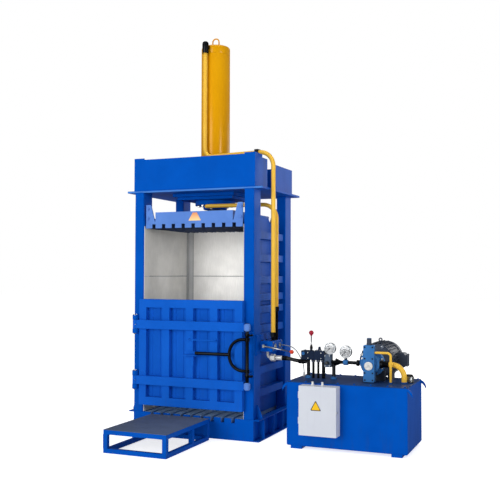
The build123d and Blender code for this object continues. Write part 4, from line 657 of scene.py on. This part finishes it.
def liner_plugs():
    """Flat plug welds in rows, which hold the sheets to the walls behind them."""
    lowest, highest, pitch = 0.33, 1.56, 0.205
    side_row, rear_row = (-0.40, -0.13, 0.14, 0.38), (-0.42, -0.14, 0.14, 0.42)
    dots = []
    for z in np.arange(lowest, highest, pitch):
        dots += [((side * liner_x, y, z), (-side, 0, 0)) for side in (-1, 1) for y in side_row]
        dots += [((x, liner_y, z), forwards) for x in rear_row]
    rows = ((0.009, 0), (0.0085, 0.0006), (0.006, 0.0011), (0.002, 0.0013))
    discs = [turned(place, axis, rows, 16) for place, axis in dots]
    skin("liner_plug_welds", discs, "frame", "galvanised_sheet")


def platen_trim():
    """A bare tapering plate, orange above and pale yellow below, on the platen's front beam, the plates that
    close the bars' front ends, and hexagon heads on the horns and round the rod's flange."""
    bars_front = face("platen_bars", "front")
    bars_under, bars_top = face("platen_bars", "under"), face("platen_bars", "top")
    outline = rounded(((-0.054, 2.125), (0.086, 2.125), (0.040, 2.205), (-0.005, 2.205)), 0.004)
    plate = facing(outline, ((0, 0), (0, 0.0012), (0.0006, 0.0018)), bars_front - 0.0002)
    skin("bare_tapered_sign", [plate], "platen", None, sign_orange)
    bar_count, bar_pitch, bar_half, gap = 10, 0.111, 0.0365, 0.0002
    ends = []
    for middle in (np.arange(bar_count) - (bar_count - 1) / 2) * bar_pitch:
        outline = panel((middle - bar_half, middle + bar_half), (bars_under + gap, bars_top - gap), 0.0015)
        ends.append(facing(outline, ((0, 0), (0, 0.0022), (0.0006, 0.0028)), bars_front + 0.0004))
    skin("platen_bar_ends", ends, "platen", "platen_blue")
    horn_front = face("platen_frame", "front") + 0.0008
    places = [(x, horn_front, z) for x in (-0.513, 0.513) for z in (2.152, 2.254)]
    skin("horn_bolts", bolt_heads(places, forwards, 0.022, 0.009), "platen", "platen_blue")
    flange_top = face("ram_rod", "under") + 0.030
    ring = [(x, y, flange_top) for x, y in ring_of(0.100, 8, 0.2)]
    skin("rod_flange_bolts", bolt_heads(ring, upwards, 0.024, 0.014), "platen", "zinc_steel")


def rod_wiper():
    """The wiper lip under the gland, a thin rubber ring with a rounded lip round the rod."""
    rows = ((0.0765, -0.006), (0.083, -0.006), (0.090, -0.003), (0.092, 0.0), (0.0765, 0.0))
    ring = turned((0, 0, face("cylinder_gland", "under")), upwards, rows, 64)
    skin("rod_wiper", [ring], "frame", "hose_rubber", caps=(False, False))


def door_trim():
    """Light-blue sleeves on the latch bearings, grease nipples on the hinges, a lip on the latch grip's rest,
    welds along the ribs and round the ends of the pull."""
    latch_x, latch_y = 0.630, -0.620
    bar_levels = (0.536, 1.091)
    upper = ((0.0185, 0.036), (0.020, 0.0355), (0.0305, 0.0238), (0.0308, 0.022))
    rows = [(radius, -height) for radius, height in upper] + list(reversed(upper))
    for name, level in zip(("latch_bearing_low", "latch_bearing_high"), bar_levels):
        sleeve = turned((latch_x, latch_y, level), upwards, rows, 48)
        skin(name, [sleeve], "door", "platen_blue", caps=(False, False))
    hinge_x, hinge_y, hinge_radius, lean = -0.600, -0.602, 0.0255, 0.6
    ahead = (math.sin(lean), -math.cos(lean), 0)
    nipple = ((0.004, 0), (0.004, 0.004), (0.0028, 0.006), (0.0028, 0.009), (0.0038, 0.011), (0.003, 0.0135),
              (0.001, 0.0145))
    nipple_x, nipple_y = hinge_x + hinge_radius * ahead[0], hinge_y + hinge_radius * ahead[1]
    nipples = [turned((nipple_x, nipple_y, level), ahead, nipple, 16) for level in bar_levels]
    skin("grease_nipples", nipples, "door", "zinc_steel")
    outline = panel((-0.041, 0.100), (0.8105, 0.842), 0.003)
    lip = facing(outline, ((0, 0), (0, 0.0016), (0.001, 0.0022)), -0.5932)
    skin("rest_plate", [lip], "door", "door_blue")
    rib_edges = (-0.435, -0.352, -0.172, -0.0902, 0.0902, 0.172, 0.352, 0.435)
    rib_spans = ((0.372, 0.490), (0.582, 1.045), (1.137, 1.257))
    panel_y = -0.5355
    lines = [((x, panel_y, foot), (x, panel_y, head)) for x in rib_edges for foot, head in rib_spans]
    skin("door_rib_welds", weld_beads(lines, 0.0035, 0.016), "door", "door_blue")
    pull_y, pull_z = face("door_pull", "rear"), 0.956
    rows = ((0.0115, -0.001), (0.0105, 0.0015), (0.0085, 0.0035), (0.0064, 0.0048))
    rings = [turned((x, pull_y, pull_z), forwards, rows, 24, lobes=9, depth=0.03) for x in (0.296, 0.004)]
    skin("pull_welds", rings, "door", "door_blue")


def side_valve_trim():
    """Cap screws and port plugs on the side valve, its bracket's bolts and the lever's orange-red ball."""
    top, right = face("side_valve_body", "top"), face("side_valve_body", "right")
    places = [(x, y, top) for x in (0.688, 0.781) for y in (-0.382, -0.265, -0.150)]
    skin("side_valve_screws", cap_screws(places, upwards, 0.008, 0.008), "frame", "black_fittings")
    places = [(right, y, z) for y in (-0.38, -0.15) for z in (0.865, 0.935)]
    skin("side_port_screws", cap_screws(places, rightwards, 0.006, 0.006), "frame", "zinc_steel")
    port = ((0.024, 0), (0.024, 0.007), (0.022, 0.009), (0.013, 0.009), (0.012, 0.006))
    plugs = [turned((right, y, 0.900), rightwards, port, 36) for y in (-0.33, -0.21)]
    skin("side_port_plugs", plugs, "frame", "zinc_steel")
    places = [(face("side_valve_body", "left"), -0.115, z) for z in (0.830, 1.000)]
    skin("bracket_bolts", bolt_heads(places, rightwards, 0.018, 0.009), "frame", "zinc_steel")
    lever_end, lever_way = (1.012, -0.440, 0.861), (0.9887, 0, -0.1500)
    ball = turned(lever_end, lever_way, ball_rows(0.0200, -0.96, 24), 40)
    skin("side_lever_ball", [ball], "side_lever", "knob_red", smooth_angle=60)


# Power unit: the row of valves and gauges stands at group_y, and pump and motor turn about one axis
group_y = -0.300
lid_top = 0.610
drive_x, drive_z = 1.755, 0.775

# Each gauge's middle in x and z, its case's radius, and the step from one number on its dial to the next
gauges = ((1.348, 0.894, 0.053, 5), (1.500, 0.869, 0.057, 4))


def dial_ticks(name, x, y, z, inner):
    """Thirty-one ticks over three quarters of a turn, every sixth one longer and wider."""
    ticks = []
    for number, angle in enumerate(np.linspace(-0.75, 0.75, 31) * math.pi):
        long, wide = (0.0055, 0.0011) if number % 6 == 0 else (0.003, 0.0006)
        spoke = np.array((math.sin(angle), math.cos(angle)))
        beside = np.array((spoke[1], -spoke[0])) * wide / 2
        far, near = spoke * (inner - 0.003), spoke * (inner - 0.003 - long)
        outline = (near + beside, far + beside, far - beside, near - beside)
        ticks.append(facing(outline, ((0, 0), (0, 0.0002)), y - 0.0003, x, z))
    skin(name, ticks, "frame", "black_plastic")


def dial_number(name, text, spot):
    """A plain number stood upright, with its middle at spot."""
    high = 0.0105
    words = bpy.data.curves.new(name, "FONT")
    words.body = text
    words.size = high
    words.extrude = 0.0001
    words.align_x = "CENTER"
    words.align_y = "CENTER"
    words.resolution_u = 3
    flat = bpy.data.objects.new("flat_number", words)
    mesh = bpy.data.meshes.new_from_object(flat)
    bpy.data.objects.remove(flat)
    mesh.transform(Matrix.Translation(spot) @ Matrix.Rotation(math.pi / 2, 4, "X"))
    mesh.materials.clear()
    mesh.materials.append(black_phenolic)
    made = bpy.data.objects.new(name, mesh)
    scene.collection.objects.link(made)
    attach(made, "frame")


def gauge_face(index, x, z, radius, step):
    """One gauge's white dial with ticks and six plain numbers, its turned bezel and its domed glass, a flat
    arc of height 2.2 mm times the root of 1 - share squared."""
    front = face("gauges", "front")
    dial_y = front + 0.005
    inner = radius - 0.006
    rows = ((inner - 0.0003, 0.00005), (inner - 0.0003, 0.00025), (0.0024, 0.00025), (0.0024, 0.00005))
    dial = turned((x, dial_y, z), forwards, rows, 64)
    skin(f"dial_{index}", [dial], "frame", "white_plastic", dial_white, caps=(False, False))
    dial_ticks(f"dial_ticks_{index}", x, dial_y, z, inner)
    number_out = 0.68 * inner
    for number in range(6):
        angle = (-0.75 + 0.3 * number) * math.pi
        beside, above = number_out * math.sin(angle), number_out * math.cos(angle)
        spot = Vector((x + beside, dial_y - 0.0004, z + above))
        dial_number(f"dial_{index}_number_{number}", str(number * step), spot)
    rows = ((radius + 0.0006, -0.022), (radius + 0.0016, -0.020), (radius + 0.0018, -0.004),
            (radius + 0.0010, -0.001), (radius - 0.002, 0.0), (radius - 0.0062, -0.0012),
            (radius - 0.0062, -0.0030), (radius + 0.0006, -0.0030))
    bezel = turned((x, front, z), forwards, rows, 72)
    skin(f"bezel_{index}", [bezel], "frame", "gauge_case", caps=(False, False))
    share = np.linspace(1, 0.03, 10)
    bow = np.sqrt(1 - share ** 2)
    wide = inner - 0.0004
    over = np.stack((share * wide, 0.0004 + 0.0022 * bow), axis=-1)
    under = np.stack((share[::-1] * wide, -0.0006 + 0.0020 * bow[::-1]), axis=-1)
    glass = turned((x, front + 0.0020, z), forwards, np.concatenate((under, over)), 64)
    skin(f"gauge_glass_{index}", [glass], "frame", None, clear_lens, smooth_angle=50)


def directional_valve_trim():
    """Screws, a bright plug and raised sections on the directional valve."""
    top, front = 0.869, -0.345
    places = [(x, y, top) for x in (1.090, 1.200, 1.282) for y in (-0.333, -0.267)]
    skin("valve_screws", cap_screws(places, upwards, 0.0065, 0.0065), "frame", "zinc_steel")
    places = [(x, front, z) for x in (1.140, 1.270) for z in (0.800, 0.852)]
    skin("valve_front_screws", cap_screws(places, forwards, 0.005, 0.005), "frame", "zinc_steel")
    rows = ((0.0150, -0.002), (0.0150, 0.007), (0.0135, 0.009), (0.0075, 0.009), (0.007, 0.005))
    plug = turned((1.097, face("directional_valve", "front"), 0.843), forwards, rows, 36)
    skin("valve_plug", [plug], "frame", "pump_blue")
    levels = ((0, 0), (0, 0.0015), (0.0008, 0.0022))
    sections = []
    for span in ((1.076, 1.120), (1.160, 1.196), (1.204, 1.240)):
        sections.append(facing(panel(span, (0.785, 0.867), 0.003), levels, front - 0.0002))
    skin("valve_sections", sections, "frame", "black_fittings", valve_navy)


def valve_lever_trim():
    """The lever's rubber bellows, which narrows upwards in five folds, its crimson ball, and the adjuster's
    lock nut."""
    lever_x, ball_z = 1.160, 1.037
    share = np.linspace(0, 1, 41)
    folds = 0.0165 - 0.0085 * share + 0.0022 * np.cos(share * 2 * np.pi * 5)
    outside = np.stack((folds, 0.0005 + 0.034 * share), axis=-1)
    inside = np.array(((0.0056, 0.0345), (0.0056, 0.0005)))
    bellows = turned((lever_x, group_y, 0.8885), upwards, np.concatenate((outside, inside)), 32)
    skin("lever_bellows", [bellows], "lever", "hose_rubber", caps=(False, False))
    ball = turned((lever_x, group_y, ball_z), upwards, ball_rows(0.0228, -0.97, 26), 40)
    rows = ((0.0085, -0.028), (0.0095, -0.026), (0.0095, -0.020))
    collar = turned((lever_x, group_y, ball_z), upwards, rows, 24)
    skin("lever_ball", [ball, collar], "lever", "knob_red", crimson_phenolic, smooth_angle=60)
    rows = ((0.0196, 0.0), (0.0205, 0.002), (0.0205, 0.009), (0.0196, 0.011))
    nut = turned((1.242, group_y, 0.869), upwards, rows, 36, flats=6)
    skin("adjuster_nut", [nut], "frame", "zinc_steel")


def post_trim():
    """Hexagon nuts at the heads of the valves' posts and sockets at their feet."""
    nuts = []
    for x, radius in ((1.181, 0.0205), (1.230, 0.0205), (1.282, 0.0240)):
        rows = ((radius * 0.93, -0.0095), (radius, -0.0075), (radius, 0.0075), (radius * 0.93, 0.0095))
        nuts.append(turned((x, group_y, 0.772), upwards, rows, 36, flats=6))
    skin("post_nuts", nuts, "frame", "zinc_steel")
    rows = ((0.0315, 0.0003), (0.0315, 0.0125), (0.029, 0.0150), (0.020, 0.0165), (0.0176, 0.0225))
    feet = [turned((x, group_y, lid_top), upwards, rows, 48) for x in (1.132, 1.383)]
    skin("post_sockets", feet, "frame", "pump_blue")


def hose_ends():
    """The big nut at the hose's press end, and a crimped ferrule with six pressed rings on each of its ends:
    the radius is 21.2 mm plus 1.2 mm times a cosine along it."""
    rows = ((0.0150, 0.0010), (0.0300, 0.0), (0.0355, 0.003), (0.0355, 0.046), (0.0300, 0.049),
            (0.0225, 0.0495))
    nut = turned((0.7435, group_y, 0.784), rightwards, rows, 36, flats=6)
    skin("hose_nut", [nut], "frame", "zinc_steel", pale_zinc, caps=(False, False))
    along = np.linspace(0, 1, 49)
    swell = 0.0212 + 0.0012 * np.cos(along * 2 * np.pi * 6)
    crimp = np.stack((swell, 0.001 + 0.048 * along), axis=-1)
    rows = np.concatenate((((0.0185, 0.0),), crimp, ((0.0185, 0.050),)))
    press_end = turned((0.8655, group_y, 0.784), rightwards, rows, 40)
    tank_end = turned((1.0345, group_y, 0.7618), (1, 0, -0.02), rows, 40)
    skin("hose_ferrules", [press_end, tank_end], "frame", "black_fittings", caps=(False, False))


def relief_trim():
    """Cap screws on the relief valve's front, the gauges' seat nuts, the screws of the pipe's flange, and the
    blue tee under the second gauge: its radius is 23.4 mm plus 3 mm times the root of 1 - bow squared."""
    gauge_x, tee_x, tee_z = gauges[0][0], gauges[1][0], 0.770
    places = [(x, face("relief_valve", "front"), z) for x in (1.309, 1.353) for z in (0.733, 0.828)]
    skin("relief_screws", cap_screws(places, forwards, 0.0055, 0.0055), "frame", "zinc_steel")
    rows = ((0.0140, 0.0), (0.0148, 0.0015), (0.0148, 0.0085), (0.0135, 0.010))
    seat = turned((gauge_x, group_y, face("relief_valve", "top")), upwards, rows, 36, flats=6)
    rows = ((0.0145, 0.0), (0.0155, 0.0015), (0.0155, 0.0105), (0.0145, 0.012))
    tee_nut = turned((tee_x, group_y, 0.7985), upwards, rows, 36, flats=6)
    skin("gauge_nuts", [seat, tee_nut], "frame", "zinc_steel")
    bow = np.linspace(-1, 1, 25)
    rows = np.stack((0.0234 + 0.003 * np.sqrt(np.clip(1 - bow ** 2, 0, 1)), 0.0225 * bow), axis=-1)
    tee = turned((tee_x, group_y, tee_z), rightwards, rows, 40)
    skin("gauge_tee", [tee], "frame", "pump_blue", smooth_angle=60)
    places = [(1.606, group_y + y, tee_z + z) for y, z in ring_of(0.0205, 4, math.pi / 4)]
    skin("pipe_flange_screws", cap_screws(places, (-1, 0, 0), 0.0042, 0.0045), "frame", "zinc_steel")


def pump_trim():
    """The pump's pale end cover with its boss, its slab's screws and top plug, the bolts of both flanges, and
    the black sleeve where the suction pipe starts."""
    cover_y, cover_z = face("pump_control", "front") - 0.0002, 0.764
    rows = ((0.0385, 0.0), (0.0385, 0.006), (0.0360, 0.0078), (0.026, 0.0082), (0.0255, 0.0070),
            (0.012, 0.0070), (0.0115, 0.0082), (0.004, 0.0084))
    cover = turned((drive_x, cover_y, cover_z), forwards, rows, 56)
    skin("pump_end_cover", [cover], "frame", "white_plastic")
    rows = ((0.0090, -0.001), (0.0090, 0.0105), (0.0080, 0.0115), (0.0035, 0.0115), (0.0030, 0.0095))
    boss = turned((drive_x, cover_y, cover_z), forwards, rows, 36, flats=6)
    skin("end_cover_boss", [boss], "frame", "gauge_case")
    ring = [(drive_x + x, cover_y - 0.0072, cover_z + z) for x, z in ring_of(0.0215, 3, math.pi / 2)]
    skin("end_cover_screws", cap_screws(ring, forwards, 0.0030, 0.0025), "frame", "zinc_steel")
    slab_levels = (0.636, 0.700, 0.830, 0.934)
    places = [(drive_x + x, -0.450, level) for x in (-0.036, 0.036) for level in slab_levels]
    skin("pump_slab_screws", cap_screws(places, forwards, 0.0070, 0.0070), "frame", "black_fittings")
    rows = ((0.0225, 0.0003), (0.0245, 0.002), (0.0245, 0.014), (0.0225, 0.016), (0.0215, 0.016),
            (0.0215, 0.058), (0.0200, 0.0632), (0.012, 0.0640))
    plug = turned((drive_x, -0.425, 0.952), upwards, rows, 48)
    skin("slab_plug", [plug], "frame", "motor_grey")
    for name, y, radius, across, height in (("pump_flange_bolts", -0.318, 0.100, 0.016, 0.010),
                                            ("bell_bolts", -0.148, 0.148, 0.018, 0.011)):
        ring = [(drive_x + x, y, drive_z + z) for x, z in ring_of(radius, 8, math.pi / 8)]
        skin(name, bolt_heads(ring, forwards, across, height), "frame", "zinc_steel")
    rows = ((0.0342, 0.0), (0.0362, 0.001), (0.0362, 0.023), (0.0342, 0.025), (0.0315, 0.0265),
            (0.0295, 0.030), (0.0295, 0.078), (0.0285, 0.081), (0.0256, 0.082))
    sleeve = turned((1.8416, -0.358, drive_z), rightwards, rows, 48)
    skin("suction_sleeve", [sleeve], "frame", "black_fittings", caps=(False, False))


def motor_trim():
    """The terminal box's raised lid with screws, its gland, and two wire rings over the fan cowl's rear."""
    lid_x = face("motor_body", "right")
    outline = panel((0.048, 0.157), (0.714, 0.834), 0.010)
    lid = stacked(outline, ((0, 0), (0, 0.004), (0.003, 0.007)), (lid_x, 0, 0), (0, 1, 0), upwards)
    skin("terminal_lid", [lid], "frame", "motor_grey")
    places = [(lid_x + 0.0068, y, z) for y in (0.060, 0.145) for z in (0.726, 0.822)]
    skin("terminal_screws", cap_screws(places, rightwards, 0.0042, 0.0030), "frame", "zinc_steel")
    rows = ((0.0150, 0.0), (0.0150, 0.008), (0.0130, 0.010), (0.0130, 0.020), (0.0105, 0.026), (0.007, 0.027))
    gland = turned((1.930, 0.102, 0.7062), (0, 0, -1), rows, 36)
    skin("terminal_gland", [gland], "frame", "black_plastic")
    centre = (drive_x, face("fan_cowl", "rear") + 0.0018, drive_z)
    # Unit vectors round the axis, in x and z
    spoke = np.insert(ring_of(1, 64), 1, 0, axis=1)
    wire = ring_of(0.0022, 8)
    rings = []
    for radius in (0.030, 0.150):
        loop = centre + spoke[:, None] * (radius + wire[:, :1]) + wire[:, 1:] * np.array((0.0, 1, 0))
        rings.append(np.concatenate((loop, loop[:1])))
    skin("cowl_rings", rings, "frame", "motor_grey", caps=(False, False))


def tank_trim():
    """Bolts round the tank's lid, welds along its edges, and the ribbed zinc sleeve and the crown of the
    filler cap."""
    left, right, front, rear = (face("tank_lid", side) for side in ("left", "right", "front", "rear"))
    places = [(x, y, lid_top) for x in np.linspace(left + 0.025, right - 0.025, 8)
              for y in (front + 0.020, rear - 0.020)]
    skin("lid_bolts", bolt_heads(places, upwards, 0.016, 0.007), "frame", "press_blue")
    weld_left, weld_right, weld_foot = 1.035, 2.135, 0.030
    lines = [((x, y, 0.034), (x, y, 0.598)) for x in (left, right) for y in (front, rear)]
    lines += [((weld_left, y, weld_foot), (weld_right, y, weld_foot)) for y in (front, rear)]
    skin("tank_welds", weld_beads(lines, 0.0028, 0.010), "frame", "press_blue")
    cap_foot = (2.088, -0.262, face("filler_cap", "under"))
    rows = ((0.0384, 0.006), (0.0412, 0.007), (0.0412, 0.052), (0.0395, 0.055), (0.0384, 0.055))
    sleeve = turned(cap_foot, upwards, rows, 120, lobes=40, depth=0.006)
    skin("filler_sleeve", [sleeve], "cap", "zinc_steel", caps=(False, False))
    rows = ((0.0330, 0.0615), (0.0330, 0.0690), (0.0300, 0.0720), (0.010, 0.0735))
    skin("filler_crown", [turned(cap_foot, upwards, rows, 48)], "cap", "black_plastic")


def triangle(middle, half, foot, apex, radius):
    """A triangle with rounded corners, standing on its longest side."""
    return rounded(((middle - half, foot), (middle + half, foot), (middle, apex)), radius)


def electrical_trim():
    """The bare yellow triangle with its black border on the door, and the rail, the switchgear and the wiring
    ducts inside the box."""
    door_front = face("electrical_door", "front")
    middle, half, foot, apex = 1.345, 0.052, 0.377, 0.470
    border = facing(triangle(middle, half, foot, apex, 0.007), ((0, 0), (0, 0.0006), (0.0003, 0.0008)),
                    door_front - 0.0001)
    skin("sign_border", [border], "box_door", "black_plastic")
    sign = facing(triangle(middle, half - 0.011, foot + 0.0065, apex - 0.0135, 0.004),
                  ((0, 0), (0, 0.0003), (0.0002, 0.0005)), door_front - 0.0009)
    skin("bare_triangle_sign", [sign], "box_door", None, sign_yellow)
    back_y = -0.6232
    rail = facing(panel((1.215, 1.500), (0.440, 0.475), 0.001), ((0, 0), (0, 0.007)), back_y)
    skin("din_rail", [rail], "frame", "zinc_steel")
    gear_left, gear_y = 1.222, -0.6303
    shifts = (0, 0.048, 0.096, 0.170, 0.189, 0.208)
    widths = (0.045, 0.045, 0.070, 0.018, 0.018, 0.018)
    gear = []
    for shift, wide in zip(shifts, widths):
        left, right = gear_left + shift, gear_left + shift + wide
        body = panel((left, right), (0.412, 0.500), 0.002)
        nose = panel((left + 0.003, right - 0.003), (0.436, 0.476), 0.002)
        gear.append(facing(body, ((0, 0), (0, 0.040), (0.001, 0.041)), gear_y))
        gear.append(facing(nose, ((0, 0.0405), (0, 0.056), (0.001, 0.057)), gear_y))
    skin("switchgear", gear, "frame", "white_plastic")
    levels = ((0, 0), (0, 0.035), (0.001, 0.036))
    ducts = [facing(panel((1.200, 1.518), (z, z + 0.030), 0.001), levels, back_y) for z in (0.540, 0.375)]
    skin("wiring_duct", ducts, "frame", "box_grey")


def step_trim():
    """Fillet welds up both edges of the step's legs, at its front, middle and rear."""
    leg = 0.04
    left, right = face("step_frame", "left"), face("step_frame", "right")
    front, rear, middle = face("step_frame", "front"), face("step_frame", "rear"), -0.950
    lines = []
    for x in (left, right):
        for y in (front, front + leg, middle - leg / 2, middle + leg / 2, rear - leg, rear):
            lines.append(((x, y, 0.040), (x, y, 0.165)))
    skin("step_welds", weld_beads(lines, 0.0022, 0.009), "frame", "press_blue")


press_welds()
head_plate_edge()
wall_welds()
corner_strips()
liner_seams()
liner_plugs()
platen_trim()
rod_wiper()
door_trim()
side_valve_trim()
for number, gauge in enumerate(gauges, 1):
    gauge_face(number, *gauge)
directional_valve_trim()
valve_lever_trim()
post_trim()
hose_ends()
relief_trim()
pump_trim()
motor_trim()
tank_trim()
electrical_trim()
step_trim()


# Stage: a pale floor that glows a little, more to the camera than to the object
def studio_floor():
    """A flat square of floor, eighty metres across."""
    reach = 40.0
    mesh = bpy.data.meshes.new("studio_floor")
    corners = [(-reach, -reach, 0), (reach, -reach, 0), (reach, reach, 0), (-reach, reach, 0)]
    mesh.from_pydata(corners, [], [(0, 1, 2, 3)])
    made = bpy.data.objects.new("studio_floor", mesh)
    scene.collection.objects.link(made)
    paint, tree, shader, _ = begin("pale_studio_floor")
    shader.inputs["Base Color"].default_value = linear("#F4F4F4")
    shader.inputs["Roughness"].default_value = 0.9
    shader.inputs["Specular IOR Level"].default_value = 0.0
    shader.inputs["Emission Color"].default_value = (1, 1, 1, 1)
    rays = add(tree, "ShaderNodeLightPath")
    glow = add(tree, "ShaderNodeMapRange", {"To Min": 0.22, "To Max": 0.70},
               {0: rays.outputs["Is Camera Ray"]})
    tree.links.new(shader.inputs["Emission Strength"], glow.outputs[0])
    mesh.materials.append(paint)
    made.visible_glossy = False


def studio_air():
    """White air: full strength to the camera, faint in reflections and soft on the object."""
    white = (1, 1, 1, 1)
    world = bpy.data.worlds.new("studio_air")
    scene.world = world
    world.use_nodes = True
    air = world.node_tree
    soft = air.nodes["Background"]
    soft.inputs["Strength"].default_value = 0.36
    soft.inputs["Color"].default_value = white
    seen = add(air, "ShaderNodeBackground", {"Color": white, "Strength": 1.0})
    sheen = add(air, "ShaderNodeBackground", {"Color": white, "Strength": 0.12})
    rays = add(air, "ShaderNodeLightPath")
    lit = add(air, "ShaderNodeMixShader",
              links={0: rays.outputs["Is Glossy Ray"], 1: soft.outputs[0], 2: sheen.outputs[0]})
    both = add(air, "ShaderNodeMixShader",
               links={0: rays.outputs["Is Camera Ray"], 1: lit.outputs[0], 2: seen.outputs[0]})
    end = next(n for n in air.nodes if n.type == "OUTPUT_WORLD")
    air.links.new(end.inputs["Surface"], both.outputs[0])


def lamp(name, place, aim, size, power, spread=180, glossy=True):
    """A square soft lamp at place, turned to face aim. A smaller spread keeps its light in a narrower beam,
    and a lamp that isn't glossy stays out of reflections."""
    data = bpy.data.lights.new(name, "AREA")
    data.size = size
    data.spread = math.radians(spread)
    data.energy = power
    made = bpy.data.objects.new(name, data)
    scene.collection.objects.link(made)
    made.location = place
    made.rotation_euler = (Vector(aim) - Vector(place)).to_track_quat("-Z", "Y").to_euler()
    made.visible_glossy = glossy


studio_floor()
studio_air()
lamp("key_lamp", (-3.2, -13.0, 3.4), (0.3, 0, 1.5), 6.0, 830)
lamp("fill_lamp", (8.8, -4.0, 3.0), (0.6, 0, 2.3), 2.0, 16, spread=44)
lamp("top_lamp", (0.5, -1.0, 8.5), (0.5, 0, 1.0), 5.0, 140)
lamp("back_lamp", (0.5, 7.5, 5.0), (0.5, 0, 1.5), 4.0, 140, glossy=False)
lamp("side_lamp", (3.6, 6.5, 2.9), (0.6, 0, 2.2), 3.0, 60)
lamp("chamber_lamp", (-0.05, -0.43, 1.62), (-0.28, 1.0, 1.56), 0.5, 1.7, spread=105, glossy=False)
scene.view_settings.view_transform = "Standard"
